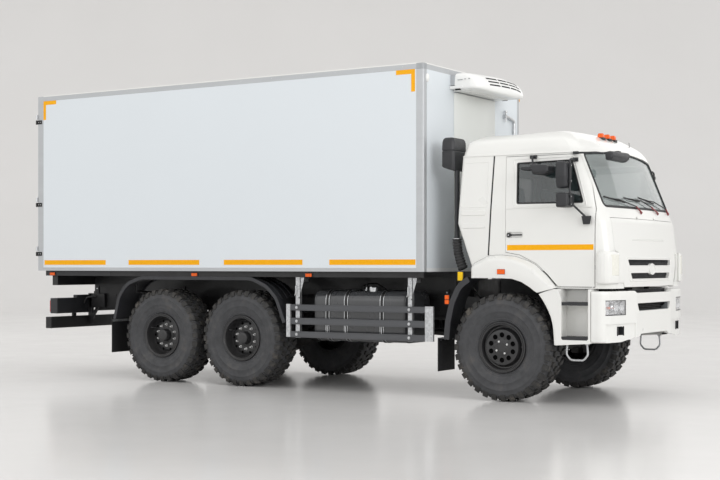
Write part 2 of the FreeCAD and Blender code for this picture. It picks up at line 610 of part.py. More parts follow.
for side, s in (("right", -1), ("left", 1)):
    band = cut(lofted(CAB, 0, 0, 0), lofted(CAB, W, -10, 10))
    leaf = common(band, prism("XZ", DOOR, *sorted((s * 1300, s * 1075))))
    window = prism("XZ", WINDOW, *sorted((s * 1300, s * 1050)))
    node("door_" + side, cut(leaf, [window, rod("z", 1070, 1148 * s, 1300, 8.05, 50)]))
    gb = cut(lofted(CAB, 26, 0, 0), lofted(CAB, 32, -10, 10))
    node("door_glass_" + side, common(gb, prism("XZ", WINDOW, *sorted((s * 1300, s * 1075)))))
    # mirrors on one stand, on the door's front edge
    Y = lambda y: s * y
    stand = [bar((872, Y(1320), 2250), (872, Y(1320), 2712), 12),
             cut(bar((872, Y(1320), 2712), (862, Y(1095), 2712), 12), lofted(CAB, 0, 0, 0)),
             bar((872, Y(1320), 2250), (1010, Y(1200), 2080), 12), prism("XY", [(950, Y(1160)), (1050, Y(1160)), (1088, Y(1215)), (965, Y(1215))], 1990, 2095)]
    heads = [box(745, 866, *sorted((Y(1200), Y(1420))), 2390, 2690), box(750, 880, *sorted((Y(1185), Y(1420))), 2180, 2345)]
    heads = [rounded(b, 35, lambda p, r: along("x", p, r)) for b in heads]
    if side == "right":  # a kerb mirror on an arm over the window, on the pavement side only
        heads += [cut(bar((365, Y(1090), 2765), (400, Y(1240), 2625), 11), lofted(CAB, 0, 0, 0)), box(305, 475, *sorted((Y(1170), Y(1415))), 2606, 2636),
                  rounded(box(455, 650, *sorted((Y(1180), Y(1415))), 2550, 2668), 30, lambda p, r: along("x", p, r))]
    node("mirror_" + side, fuse(stand + heads))

flares = []
OUT = [(-410, 1400), (-410, 1557), (-180, 1660), (-30, 1664), (140, 1650), (300, 1600), (394, 1553), (533, 1433), (655, 1297)]
INN = [(430, 1250), (365, 1300), (260, 1360), (140, 1395), (0, 1400)]
for s in (-1, 1):
    outer = prism("XZ", OUT + INN, *sorted((s * 1258, s * 1161)))
    flares.append(fuse([outer, box(-400, 0, *sorted((s * 1161, s * 1000)), 1401, 1499)]))
node("arch_flares", group(flares))

dash = common(fuse([prism("XZ", [(640, 1560), (1080, 1560), (1080, 2000), (640, 2000)], -1055, 1055),
                    prism("XZ", [(640, 1990), (1080, 1990), (1080, 2130), (980, 2170), (700, 2120), (640, 2020)], -950, 950)]),
              lofted(CAB, 80, 0, 0))
node("dashboard", cut(dash, bar((760, 520, 1950), (520, 520, 2154), 34)))
column = bar((760, 520, 1950), (560, 520, 2120), 28)
wheel = doc.addObject("Part::Torus", "wheel_rim")
wheel.Radius1 = 225
wheel.Radius2 = 16
wheel.Placement = FreeCAD.Placement(V(0, 0, 0), FreeCAD.Rotation(V(0, 0, 1), V(-200, 0, 170)))
place(wheel, X(560), q(520), q(2120))
way = V(-200, 0, 170).normalize()
flat = V(170, 0, 200).normalize()
spokes = [bar((560, 520 - 225, 2120), (560, 520 + 225, 2120), 13),
          bar((560, 520, 2120), (560 + flat.x * 225, 520, 2120 + flat.z * 225), 13)]
node("steering_wheel", fuse([wheel, column] + spokes))

seats = []
for y in (-520, 520):
    seat = [box(-180, 340, y - 250, y + 250, 1840, 1980), prism("XZ", [(-180, 1900), (-60, 1900), (-190, 2560), (-300, 2560)], y - 240, y + 240),
            box(-100, 260, y - 180, y + 180, 1551, 1841)]
    seats.append(fuse(seat))
seats.append(fuse([box(-505, -335, -1050, 1050, 1951, 2080),
                   prism("XZ", [(-335, 1551), (-335, 1955), (-500, 1955), (-356, 1551)], -1000, 1000)]))
node("seats", group(seats))

intake = [box(-800, -625, *sorted((-850, -1200)), 2600, 3037), box(-668, -612, -1130, -1040, 1850, 2660),
          bar((-640, -1085, 1870), (-560, -1085, 1505), 52)]
snorkel = cut(rounded(intake[0], 40, lambda p, r: along("z", p, r)), prism("XZ", [(-810, 2692), (-615, 2626), (-615, 2590), (-810, 2590)], -1300, -800))
node("air_intake", fuse([snorkel] + intake[1:] + [cut(box(-660, -545, -1100, -1060, 2300, 2360), lofted(CAB, 0, 0, 0))]))

node("front_mirror", fuse([bar((840, -1150, 2790), (1180, -1060, 2775), 12), bar((1180, -1060, 2775), (1220, -700, 2790), 12),
                           rounded(box(1186, 1276, -1090, -520, 2694, 2818), 25, lambda p, r: along("x", p, r))]))

# ---------------------------------------------------------------- knuckles and wheels
for side, s in (("right", -1), ("left", 1)):
    z = D["tyre_radius"]
    k = [rod("z", 0, D["kingpin_y"] * s, z - 170, 46, 340), rod("y", 0, s * 955 if s > 0 else -1130, z, 58, 175)]
    yoke = [box(-45, 45, *sorted((s * 1030, s * 870)), z0, z1) for z0, z1 in ((735, 790), (440, 495))]
    node("knuckle_" + side, fuse(k + yoke))

TYRE = [  # radius, distance across from the middle of the tread
    (275, -165), (330, -190), (430, -212.5), (530, -210), (590, -190), (615, -150),
    (615, 150), (590, 190), (530, 210), (430, 212.5), (330, 190), (275, 165)]
RIM = [(274, -165), (290, -172.5), (290, -182), (262, -182), (250, -120), (250, 60), (66, 100), (66, 112), (240, 112), (250, 150),
       (262, 182), (290, 182), (290, 172.5), (274, 165)]
RIM_F = [(274, -165), (290, -172.5), (290, -182), (262, -182), (250, -120), (250, 110), (195, 176), (61, 176), (61, 190), (200, 190),
         (250, 150), (262, 182), (290, 182), (290, 172.5), (274, 165)]
WHEELS = [  # name, x, side, front
    ("front_wheel_right", 0, -1, True), ("front_wheel_left", 0, 1, True),
    ("middle_wheel_right", MID, -1, False), ("middle_wheel_left", MID, 1, False),
    ("rear_wheel_right", REAR, -1, False), ("rear_wheel_left", REAR, 1, False)]
for name, x, s, front in WHEELS:
    yc = D["half_track"]
    tyre = [(D["tyre_radius"] - (615 - r) if r > 500 else q(r), yc + y) for r, y in TYRE]
    node(name + "_tyre", turned(x, D["tyre_radius"], tyre, s))
    prof = RIM_F if front else RIM
    rim = turned(x, D["tyre_radius"], [(q(r), yc + y) for r, y in prof], s)
    cap = rod("y", x, min(s * (1025 + (182 if front else 95)), s * (1025 + (205 if front else 185))), 615, 60 if front else 70, 23 if front else 90)
    near, far, r = (150, 195, 62) if front else (20, 112, 67)
    hub = rod("y", x, min(s * (1025 + near), s * (1025 + far)), 615, r, far - near)
    node(name + "_rim", fuse([rim, hub, cap]))

# ---------------------------------------------------------------- check and write
doc.recompute()
bad = []
for obj in doc.Objects:
    if "Invalid" in obj.State or "Error" in obj.State:
        bad.append("%s (%s): %s" % (obj.Name, obj.Label, obj.State))
for name, obj in NODES.items():
    sh = obj.Shape
    if sh.isNull() or not sh.isValid() or not sh.Solids:
        bad.append("%s: bad shape" % name)
if bad:
    raise RuntimeError("; ".join(bad))
total = None
for name, obj in NODES.items():
    obj.Shape.exportStep("parts/%s.step" % name)
    bb = obj.Shape.BoundBox
    total = bb if total is None else total.united(bb)
    print("%-26s solids %2d  vol %.4f m3  x %.0f..%.0f y %.0f..%.0f z %.0f..%.0f" % (
        name, len(obj.Shape.Solids), obj.Shape.Volume / 1e9, bb.XMin, bb.XMax, bb.YMin, bb.YMax, bb.ZMin, bb.ZMax))
print("nodes", len(NODES), "box", total)
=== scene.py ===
import bpy
import bmesh
import math
import random
from mathutils import Vector, Matrix


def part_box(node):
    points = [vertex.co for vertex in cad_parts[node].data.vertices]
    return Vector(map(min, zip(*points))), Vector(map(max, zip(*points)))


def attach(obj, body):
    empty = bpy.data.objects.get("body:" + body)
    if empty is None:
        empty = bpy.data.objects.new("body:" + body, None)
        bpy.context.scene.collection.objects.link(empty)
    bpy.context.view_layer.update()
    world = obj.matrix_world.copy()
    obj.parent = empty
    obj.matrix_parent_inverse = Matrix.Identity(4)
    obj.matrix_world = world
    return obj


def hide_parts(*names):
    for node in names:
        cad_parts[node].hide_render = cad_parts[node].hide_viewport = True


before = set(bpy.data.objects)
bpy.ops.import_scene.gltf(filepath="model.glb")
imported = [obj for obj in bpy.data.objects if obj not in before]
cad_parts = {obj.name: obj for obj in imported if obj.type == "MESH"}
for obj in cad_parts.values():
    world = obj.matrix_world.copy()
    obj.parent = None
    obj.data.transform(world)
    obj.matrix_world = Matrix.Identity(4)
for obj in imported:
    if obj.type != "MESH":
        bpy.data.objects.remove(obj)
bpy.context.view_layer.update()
random.seed(7)

lo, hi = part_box("front_wheel_right_tyre")
FX = (lo[0] + hi[0]) / 2  # the front axle; every x below counts from it
WR = (hi[2] - lo[2]) / 2
WZ = (hi[2] + lo[2]) / 2
MIDX = sum(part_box("middle_wheel_right_tyre")[i][0] for i in (0, 1)) / 2 - FX
REARX = sum(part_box("rear_wheel_right_tyre")[i][0] for i in (0, 1)) / 2 - FX
rad = math.radians


# ------------------------------------------------------------------ materials
def nodes_of(name):
    m = bpy.data.materials.new(name)
    m.use_nodes = True
    nt = m.node_tree
    return m, nt, nt.nodes["Principled BSDF"]


def coord(nt, stretch=(1, 1, 1)):
    tc = nt.nodes.new("ShaderNodeTexCoord")
    mp = nt.nodes.new("ShaderNodeMapping")
    mp.inputs["Scale"].default_value = stretch
    nt.links.new(tc.outputs["Object"], mp.inputs["Vector"])
    return mp.outputs["Vector"]


def noise(nt, vec, scale, detail=4, rough=0.55):
    n = nt.nodes.new("ShaderNodeTexNoise")
    n.inputs["Scale"].default_value = scale
    n.inputs["Detail"].default_value = detail
    n.inputs["Roughness"].default_value = rough
    nt.links.new(vec, n.inputs["Vector"])
    return n.outputs["Fac"]


def ramp(nt, fac, stops):
    r = nt.nodes.new("ShaderNodeValToRGB")
    e = r.color_ramp.elements
    while len(e) < len(stops):
        e.new(0.5)
    for k, (p, c) in enumerate(stops):
        e[k].position = p
        e[k].color = (*c, 1) if len(c) == 3 else c
    nt.links.new(fac, r.inputs["Fac"])
    return r.outputs["Color"]


def remap(nt, fac, a, b, c, d):
    m = nt.nodes.new("ShaderNodeMapRange")
    m.inputs["From Min"].default_value = a
    m.inputs["From Max"].default_value = b
    m.inputs["To Min"].default_value = c
    m.inputs["To Max"].default_value = d
    nt.links.new(fac, m.inputs["Value"])
    return m.outputs["Result"]


def bump(nt, bs, height, strength, dist, chain=None):
    b = nt.nodes.new("ShaderNodeBump")
    b.inputs["Strength"].default_value = strength
    b.inputs["Distance"].default_value = dist
    nt.links.new(height, b.inputs["Height"])
    if chain is not None:
        nt.links.new(chain, b.inputs["Normal"])
    nt.links.new(b.outputs["Normal"], bs.inputs["Normal"])
    return b.outputs["Normal"]


def finish_mat(name, color, rough=0.4, metal=0.0, coat=0.0, var=0.05, scale=3.0, rvar=0.06, grain=0.0, grain_scale=400.0,
               wave=0.0, stretch=(1, 1, 1), dust=0.0, dust_color=(0.30, 0.27, 0.23), spec=0.5, dust_top=0.9):
    """A finish with uneven colour and gloss, fine grain, soft waviness and road dust low down."""
    m, nt, bs = nodes_of(name)
    v = coord(nt, stretch)
    n = noise(nt, v, scale, 5)
    a = tuple(max(0.0, c * (1 - var)) for c in color)
    b = tuple(min(1.0, c * (1 + var)) for c in color)
    col = ramp(nt, n, [(0.3, a), (0.7, b)])
    if dust > 0:
        geo = nt.nodes.new("ShaderNodeTexCoord")
        sep = nt.nodes.new("ShaderNodeSeparateXYZ")
        nt.links.new(geo.outputs["Object"], sep.inputs["Vector"])
        hgt = remap(nt, sep.outputs["Z"], 0.15, dust_top, dust, 0.0)
        dn = noise(nt, geo.outputs["Object"], 9.0, 6, 0.65)
        mul = nt.nodes.new("ShaderNodeMath")
        mul.operation = "MULTIPLY"
        nt.links.new(hgt, mul.inputs[0])
        nt.links.new(remap(nt, dn, 0.35, 0.7, 0.2, 1.0), mul.inputs[1])
        mx = nt.nodes.new("ShaderNodeMix")
        mx.data_type = "RGBA"
        nt.links.new(mul.outputs[0], mx.inputs[0])
        nt.links.new(col, mx.inputs[6])
        mx.inputs[7].default_value = (*dust_color, 1)
        col = mx.outputs[2]
    nt.links.new(col, bs.inputs["Base Color"])
    nt.links.new(remap(nt, noise(nt, v, scale * 2.3, 5), 0.3, 0.7, max(0.02, rough - rvar), min(1, rough + rvar)), bs.inputs["Roughness"])
    bs.inputs["Metallic"].default_value = metal
    bs.inputs["Coat Weight"].default_value = coat
    bs.inputs["Coat Roughness"].default_value = 0.06
    bs.inputs["Specular IOR Level"].default_value = spec
    last = None
    if wave > 0:
        last = bump(nt, bs, noise(nt, v, 1.3, 2), wave, 0.02)
    if grain > 0:
        last = bump(nt, bs, noise(nt, v, grain_scale, 3), grain, 0.001, last)
    return m


M = {}
M["cab"] = finish_mat("cab_white_paint", (0.80, 0.80, 0.775), 0.30, coat=0.5, var=0.008, scale=0.7, rvar=0.03)
M["boxskin"] = finish_mat("box_panel_skin", (0.72, 0.765, 0.80), 0.40, coat=0.12, var=0.008, scale=0.5, rvar=0.03)
M["boxframe"] = finish_mat("box_white_frame", (0.82, 0.835, 0.845), 0.35, coat=0.2, var=0.01, scale=0.8, rvar=0.03)
M["alu"] = finish_mat("edge_aluminium", (0.50, 0.515, 0.53), 0.45, metal=0.45, var=0.03, scale=2.0, stretch=(0.6, 6, 6), grain=0.08, grain_scale=120)
M["guard"] = finish_mat("guard_grey_rail", (0.085, 0.088, 0.095), 0.42, metal=0.25, var=0.06, stretch=(0.5, 8, 8), grain=0.10, grain_scale=100, dust=0.12)
M["chassis"] = finish_mat("chassis_black", (0.0095, 0.0095, 0.0105), 0.46, coat=0.1, var=0.25, scale=5, grain=0.2, grain_scale=220, dust=0.10)
M["cast"] = finish_mat("cast_black", (0.014, 0.014, 0.0145), 0.62, var=0.3, scale=8, grain=0.5, grain_scale=160, dust=0.14)
M["plastic"] = finish_mat("black_plastic", (0.022, 0.023, 0.026), 0.46, var=0.10, scale=6, grain=0.3, grain_scale=900)
M["mudguard"] = finish_mat("mudguard_plastic", (0.028, 0.029, 0.033), 0.44, var=0.12, scale=5, grain=0.25, grain_scale=500, dust=0.10)
M["rubber"] = finish_mat("seal_rubber", (0.012, 0.012, 0.013), 0.55, var=0.2, scale=20, grain=0.3, grain_scale=500)
M["rim"] = finish_mat("rim_black", (0.018, 0.018, 0.0195), 0.40, coat=0.15, var=0.2, scale=10, grain=0.2, grain_scale=300, dust=0.05)
M["steel"] = finish_mat("zinc_steel", (0.60, 0.61, 0.62), 0.32, metal=0.95, var=0.12, scale=30, grain=0.1)
M["tank"] = finish_mat("tank_black_gloss", (0.050, 0.052, 0.056), 0.30, coat=0.6, var=0.08, scale=2, dust=0.10)
M["interior"] = finish_mat("interior_grey", (0.20, 0.215, 0.22), 0.6, var=0.08, scale=8, grain=0.5, grain_scale=700)
M["lining"] = finish_mat("cab_lining", (0.42, 0.44, 0.43), 0.75, var=0.06, scale=10, grain=0.5, grain_scale=500)
M["unit"] = finish_mat("unit_white_plastic", (0.86, 0.865, 0.85), 0.32, coat=0.35, var=0.006, scale=0.8, rvar=0.02)
# grey-green for the panel under the hood: its darker tone is painted shade cast by the hood
M["gelcoat"] = finish_mat("unit_grey_gelcoat", (0.76, 0.775, 0.75), 0.42, coat=0.1, var=0.012, scale=0.9, rvar=0.03)
M["orange"] = finish_mat("orange_lens", (0.84, 0.115, 0.003), 0.18, coat=0.2, spec=0.3, var=0.10, scale=60, grain=0.5, grain_scale=90)
M["red"] = finish_mat("red_lens", (0.55, 0.015, 0.012), 0.14, coat=0.8, var=0.15, scale=60, grain=0.5, grain_scale=90)
M["yellow"] = finish_mat("yellow_reflector", (0.88, 0.55, 0.004), 0.22, coat=0.15, spec=0.25, var=0.08, scale=60, grain=0.4, grain_scale=120)
M["maroon"] = finish_mat("wiper_arm_red", (0.22, 0.025, 0.03), 0.35, coat=0.3, var=0.15, scale=20, grain=0.1)
M["cream"] = finish_mat("signal_lens", (0.78, 0.77, 0.70), 0.16, coat=0.8, var=0.05, scale=40, grain=0.4, grain_scale=140)
# near-black fill set into slots and openings and under parts: painted shade
M["dark"] = finish_mat("dark_gap", (0.006, 0.006, 0.006), 0.8, var=0.3, scale=20, grain=0.2)
M["nut"] = finish_mat("bright_wheel_nut", (0.66, 0.66, 0.655), 0.26, metal=0.6, var=0.12, scale=60, grain=0.1, grain_scale=300)
# black for discs set in the rims' holes: painted shade behind the holes
M["hole"] = finish_mat("open_hole_black", (0.0015, 0.0015, 0.0016), 0.9, spec=0.05, var=0.2, scale=20)
M["hose"] = finish_mat("hose_rubber", (0.022, 0.022, 0.023), 0.5, var=0.2, scale=14, grain=0.3, grain_scale=300)


def galvanised():
    m, nt, bs = nodes_of("galvanised_steel")
    v = coord(nt)
    vo = nt.nodes.new("ShaderNodeTexVoronoi")
    vo.inputs["Scale"].default_value = 55
    nt.links.new(v, vo.inputs["Vector"])
    nt.links.new(ramp(nt, vo.outputs["Color"], [(0.1, (0.44, 0.45, 0.46)), (0.9, (0.62, 0.63, 0.64))]), bs.inputs["Base Color"])
    nt.links.new(remap(nt, noise(nt, v, 40), 0.3, 0.7, 0.35, 0.55), bs.inputs["Roughness"])
    bs.inputs["Metallic"].default_value = 0.85
    return m


def tyre_rubber(name, base, dusty):
    m, nt, bs = nodes_of(name)
    v = coord(nt)
    n = noise(nt, v, 7, 7, 0.62)
    col = ramp(nt, n, [(0.30, tuple(c * 0.75 for c in base)), (0.55, base), (0.78, tuple(b * (1 - dusty) + d * dusty for b, d in zip(base, (0.22, 0.19, 0.155))))])
    nt.links.new(col, bs.inputs["Base Color"])
    nt.links.new(remap(nt, noise(nt, v, 18, 5), 0.3, 0.7, 0.58, 0.82), bs.inputs["Roughness"])
    last = bump(nt, bs, noise(nt, v, 55, 5), 0.18, 0.003)
    bump(nt, bs, noise(nt, v, 420, 3), 0.35, 0.001, last)
    return m


def tape_film():
    """Reflective film: orange yellow, with a fine honeycomb under its gloss."""
    m, nt, bs = nodes_of("reflective_tape")
    v = coord(nt)
    vo = nt.nodes.new("ShaderNodeTexVoronoi")
    vo.inputs["Scale"].default_value = 130
    vo.feature = "DISTANCE_TO_EDGE"
    nt.links.new(v, vo.inputs["Vector"])
    nt.links.new(ramp(nt, vo.outputs["Distance"], [(0.02, (0.84, 0.37, 0.002)), (0.12, (0.95, 0.45, 0.003))]), bs.inputs["Base Color"])
    nt.links.new(remap(nt, noise(nt, v, 6), 0.3, 0.7, 0.22, 0.32), bs.inputs["Roughness"])
    bs.inputs["Coat Weight"].default_value = 0.1
    bs.inputs["Specular IOR Level"].default_value = 0.15
    return m


def brushed_mirror():
    m, nt, bs = nodes_of("mirror_face")
    v = coord(nt)
    nt.links.new(ramp(nt, noise(nt, v, 3), [(0.3, (0.78, 0.80, 0.81)), (0.7, (0.84, 0.85, 0.86))]), bs.inputs["Base Color"])
    nt.links.new(remap(nt, noise(nt, v, 20), 0.3, 0.7, 0.02, 0.05), bs.inputs["Roughness"])
    bs.inputs["Metallic"].default_value = 1.0
    return m


def window_glass(name, tint, alpha):
    """Tinted glass: clear to look through, with a faint film of dust and a gloss."""
    m, nt, bs = nodes_of(name)
    v = coord(nt)
    nt.links.new(ramp(nt, noise(nt, v, 2.2, 5), [(0.3, tuple(c * 0.94 for c in tint)), (0.7, tint)]), bs.inputs["Base Color"])
    nt.links.new(remap(nt, noise(nt, v, 6, 5), 0.3, 0.7, 0.015, 0.05), bs.inputs["Roughness"])
    bs.inputs["Alpha"].default_value = alpha
    bs.inputs["Specular IOR Level"].default_value = 0.9
    bs.inputs["Coat Weight"].default_value = 1.0
    bs.inputs["Coat Roughness"].default_value = 0.02
    return m


def seat_cloth(name, a, b):
    m, nt, bs = nodes_of(name)
    v = coord(nt)
    w1 = nt.nodes.new("ShaderNodeTexWave")
    w1.inputs["Scale"].default_value = 150
    w1.inputs["Distortion"].default_value = 0.6
    nt.links.new(v, w1.inputs["Vector"])
    w2 = nt.nodes.new("ShaderNodeTexWave")
    w2.inputs["Scale"].default_value = 150
    w2.bands_direction = "Z"
    nt.links.new(v, w2.inputs["Vector"])
    ad = nt.nodes.new("ShaderNodeMath")
    ad.operation = "MULTIPLY"
    nt.links.new(w1.outputs["Fac"], ad.inputs[0])
    nt.links.new(w2.outputs["Fac"], ad.inputs[1])
    nt.links.new(ramp(nt, ad.outputs[0], [(0.1, a), (0.7, b)]), bs.inputs["Base Color"])
    nt.links.new(remap(nt, noise(nt, v, 30), 0.3, 0.7, 0.8, 0.95), bs.inputs["Roughness"])
    bs.inputs["Sheen Weight"].default_value = 0.3
    bump(nt, bs, ad.outputs[0], 0.5, 0.002)
    return m


def ribbed_floor():
    m, nt, bs = nodes_of("ribbed_floor_plate")
    v = coord(nt)
    w = nt.nodes.new("ShaderNodeTexWave")
    w.bands_direction = "Y"
    w.inputs["Scale"].default_value = 12
    nt.links.new(v, w.inputs["Vector"])
    nt.links.new(ramp(nt, noise(nt, v, 9, 5), [(0.3, (0.46, 0.47, 0.48)), (0.7, (0.58, 0.59, 0.60))]), bs.inputs["Base Color"])
    nt.links.new(remap(nt, noise(nt, v, 30), 0.3, 0.7, 0.35, 0.55), bs.inputs["Roughness"])
    bs.inputs["Metallic"].default_value = 0.8
    bump(nt, bs, w.outputs["Fac"], 0.6, 0.006)
    return m


M["galv"] = galvanised()
M["tyre"] = tyre_rubber("tyre_rubber", (0.056, 0.057, 0.061), 0.22)
M["tread"] = tyre_rubber("tread_rubber", (0.030, 0.029, 0.028), 0.45)
M["tape"] = tape_film()
M["mirror"] = brushed_mirror()
M["glass"] = window_glass("window_glass", (0.035, 0.052, 0.055), 0.50)
# the teal hue is the glass's tint; its pale lightness is a painted sky reflection
M["screen"] = window_glass("windscreen_glass", (0.36, 0.42, 0.415), 0.52)
M["lens"] = window_glass("lamp_cover_glass", (0.80, 0.80, 0.82), 0.22)
M["seat"] = seat_cloth("seat_cloth", (0.10, 0.11, 0.12), (0.22, 0.23, 0.25))
M["bunk"] = seat_cloth("bunk_cloth", (0.20, 0.21, 0.20), (0.36, 0.37, 0.36))
M["floor_plate"] = ribbed_floor()


# ------------------------------------------------------------------ mesh building
class Build:
    """Gathers many small solids into one mesh.  x counts from the front axle, in metres."""

    def __init__(self):
        self.v, self.f, self.m, self.mats = [], [], [], []

    def mat(self, key):
        if key not in self.mats:
            self.mats.append(key)
        return self.mats.index(key)

    def add(self, verts, faces, key):
        k, n = self.mat(key), len(self.v)
        self.v += [tuple(p) for p in verts]
        self.f += [tuple(i + n for i in f) for f in faces]
        self.m += [k] * len(faces)

    def box(self, key, x0, x1, y0, y1, z0, z1):
        x0, x1, y0, y1, z0, z1 = min(x0, x1), max(x0, x1), min(y0, y1), max(y0, y1), min(z0, z1), max(z0, z1)
        v = [(x, y, z) for z in (z0, z1) for y in (y0, y1) for x in (x0, x1)]
        self.add(v, [(0, 2, 3, 1), (4, 5, 7, 6), (0, 1, 5, 4), (2, 6, 7, 3), (0, 4, 6, 2), (1, 3, 7, 5)], key)

    def prism(self, key, plane, pts, a, b):
        """An outline pushed along the third axis: XZ along y, YZ along x, XY along z."""
        a, b = min(a, b), max(a, b)
        area = sum(p[0] * r[1] - r[0] * p[1] for p, r in zip(pts, pts[1:] + pts[:1]))
        if area < 0:
            pts = pts[::-1]
        put = {"XZ": lambda p, t: (p[0], t, p[1]), "YZ": lambda p, t: (t, p[0], p[1]), "XY": lambda p, t: (p[0], p[1], t)}[plane]
        n = len(pts)
        v = [put(p, a) for p in pts] + [put(p, b) for p in pts]
        f = [tuple(range(n))[::-1], tuple(range(n, 2 * n))] + [(i, (i + 1) % n, n + (i + 1) % n, n + i) for i in range(n)]
        if plane == "XZ":
            f = [t[::-1] for t in f]
        self.add(v, f, key)

    def strip(self, key, path, y0, y1, thick):
        """A bent strip along a path in x and z; positive thickness lies to the path's right."""
        other = []
        for i in range(len(path)):
            a, b = path[max(i - 1, 0)], path[min(i + 1, len(path) - 1)]
            dx, dz = b[0] - a[0], b[1] - a[1]
            m = math.hypot(dx, dz) or 1
            other.append((path[i][0] + dz / m * thick, path[i][1] - dx / m * thick))
        n = len(path)
        v = [(p[0], y, p[1]) for y in (y0, y1) for row in (path, other) for p in row]
        f = []
        for i in range(n - 1):
            f += [(i, i + 1, 2 * n + i + 1, 2 * n + i), (n + i, 3 * n + i, 3 * n + i + 1, n + i + 1),
                  (i, n + i, n + i + 1, i + 1), (2 * n + i, 2 * n + i + 1, 3 * n + i + 1, 3 * n + i)]
        f += [(0, 2 * n, 3 * n, n), (n - 1, 2 * n - 1, 4 * n - 1, 3 * n - 1)]
        self.add(v, f, key)

    def tube(self, key, pts, r, n=12, closed=False, r_end=None):
        P = [Vector(p) for p in pts]
        k = len(P)
        rings = []
        up = None
        for i in range(k):
            a = P[(i - 1) % k] if closed or i > 0 else P[i]
            b = P[(i + 1) % k] if closed or i < k - 1 else P[i]
            d = (b - a).normalized()
            if up is None:
                up = Vector((0, 0, 1)) if abs(d.z) < 0.9 else Vector((1, 0, 0))
            up = (up - d * up.dot(d)).normalized()
            side = d.cross(up)
            rr = r if r_end is None else r + (r_end - r) * i / (k - 1)
            rings.append([P[i] + (side * math.cos(t) + up * math.sin(t)) * rr for t in [2 * math.pi * j / n for j in range(n)]])
        v = [p for ring in rings for p in ring]
        f = []
        for i in range(k if closed else k - 1):
            for j in range(n):
                a, b = i * n + j, i * n + (j + 1) % n
                c, d2 = ((i + 1) % k) * n + (j + 1) % n, ((i + 1) % k) * n + j
                f.append((a, d2, c, b))
        if not closed:
            f += [tuple(range(n)), tuple(range((k - 1) * n, k * n))[::-1]]
        self.add(v, f, key)

    def lathe(self, key, prof, c, axis="y", n=48, sign=1, closed=True, arc=None):
        """Profile pairs (radius, distance along the axis) turned about an axis through c."""
        k = len(prof)
        v = []
        for i in range(n):
            t = 2 * math.pi * i / n
            for r, d in prof:
                a, b = r * math.cos(t), r * math.sin(t)
                d = d * sign
                v.append({"y": (c[0] + a, c[1] + d, c[2] + b), "x": (c[0] + d, c[1] + a, c[2] + b), "z": (c[0] + a, c[1] + b, c[2] + d)}[axis])
        f = []
        for i in range(n):
            for j in range(k if closed else k - 1):
                a, b = i * k + j, i * k + (j + 1) % k
                f.append((a, b, ((i + 1) % n) * k + (j + 1) % k, ((i + 1) % n) * k + j))
        self.add(v, f, key)

    def bolt(self, key, c, axis, r, h, sides=6, way=1):
        """A hexagon head with a small chamfer."""
        prof = [(0.0005, 0), (r, 0), (r, h * 0.75), (r * 0.8, h), (0.0005, h)]
        self.lathe(key, prof, c, axis, sides, way, closed=False)

    def ball(self, key, c, r, n=16, sx=1, sy=1, sz=1):
        v, f = [], []
        m = n // 2
        for i in range(m + 1):
            p = math.pi * i / m
            for j in range(n):
                t = 2 * math.pi * j / n
                v.append((c[0] + sx * r * math.sin(p) * math.cos(t), c[1] + sy * r * math.sin(p) * math.sin(t), c[2] + sz * r * math.cos(p)))
        for i in range(m):
            for j in range(n):
                f.append((i * n + j, (i + 1) * n + j, (i + 1) * n + (j + 1) % n, i * n + (j + 1) % n))
        self.add(v, f, key)

    def mirror(self, start=0):
        """Adds the same solids on the other side of the truck."""
        n0, f0 = len(self.v), len(self.f)
        vs = self.v[start:]
        self.v += [(x, -y, z) for x, y, z in vs]
        off = n0 - start
        add = [(tuple(i + off for i in f)[::-1], m) for f, m in zip(self.f[:f0], self.m[:f0]) if min(f) >= start]
        self.f += [f for f, _ in add]
        self.m += [m for _, m in add]

    def done(self, name, body, slot=None, bevel=0.0, seg=2, angle=35, weld=True, subdiv=0):
        me = bpy.data.meshes.new(name)
        me.from_pydata([(x + FX, y, z) for x, y, z in self.v], [], self.f)
        for key in self.mats:
            me.materials.append(M[key])
        me.polygons.foreach_set("material_index", self.m)
        bm = bmesh.new()
        bm.from_mesh(me)
        if weld:
            bmesh.ops.remove_doubles(bm, verts=bm.verts, dist=1e-6)
        bmesh.ops.dissolve_degenerate(bm, edges=bm.edges, dist=1e-7)
        bmesh.ops.recalc_face_normals(bm, faces=bm.faces)
        bm.to_mesh(me)
        bm.free()
        me.polygons.foreach_set("use_smooth", [True] * len(me.polygons))
        o = bpy.data.objects.new(name, me)
        bpy.context.scene.collection.objects.link(o)
        if bevel > 0:
            b = o.modifiers.new("edges", "BEVEL")
            b.width = bevel
            b.segments = seg
            b.limit_method = "ANGLE"
            b.angle_limit = rad(angle)
            b.harden_normals = True
            b.use_clamp_overlap = True
        else:
            me.set_sharp_from_angle(angle=rad(angle))
        if subdiv:
            s = o.modifiers.new("smooth", "SUBSURF")
            s.levels = s.render_levels = subdiv
        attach(o, body)
        return o


def round_path(pts, r, n=6):
    """Replaces each inner corner of a path by an arc of about radius r."""
    P = [Vector(p) for p in pts]
    out = [P[0]]
    for i in range(1, len(P) - 1):
        a, b, c = P[i - 1], P[i], P[i + 1]
        u, w = (a - b), (c - b)
        lu, lw = u.length, w.length
        u.normalize()
        w.normalize()
        ang = u.angle(w)
        cut = min(r / math.tan(ang / 2), lu * 0.48, lw * 0.48)
        p0, p1 = b + u * cut, b + w * cut
        for k in range(n + 1):
            t = k / n
            out.append(p0 * (1 - t) ** 2 + b * 2 * t * (1 - t) + p1 * t * t)
    out.append(P[-1])
    return out


def paint(node, key):
    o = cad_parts[node]
    o.data.materials.clear()
    o.data.materials.append(M[key])


# ------------------------------------------------------------------ box body
BXR, BXF, BY, BZ0, BZ1 = -7.190, -0.970, 1.300, 1.470, 3.920

paint("box_panels", "boxskin")
paint("box_floor", "floor_plate")

b = Build()
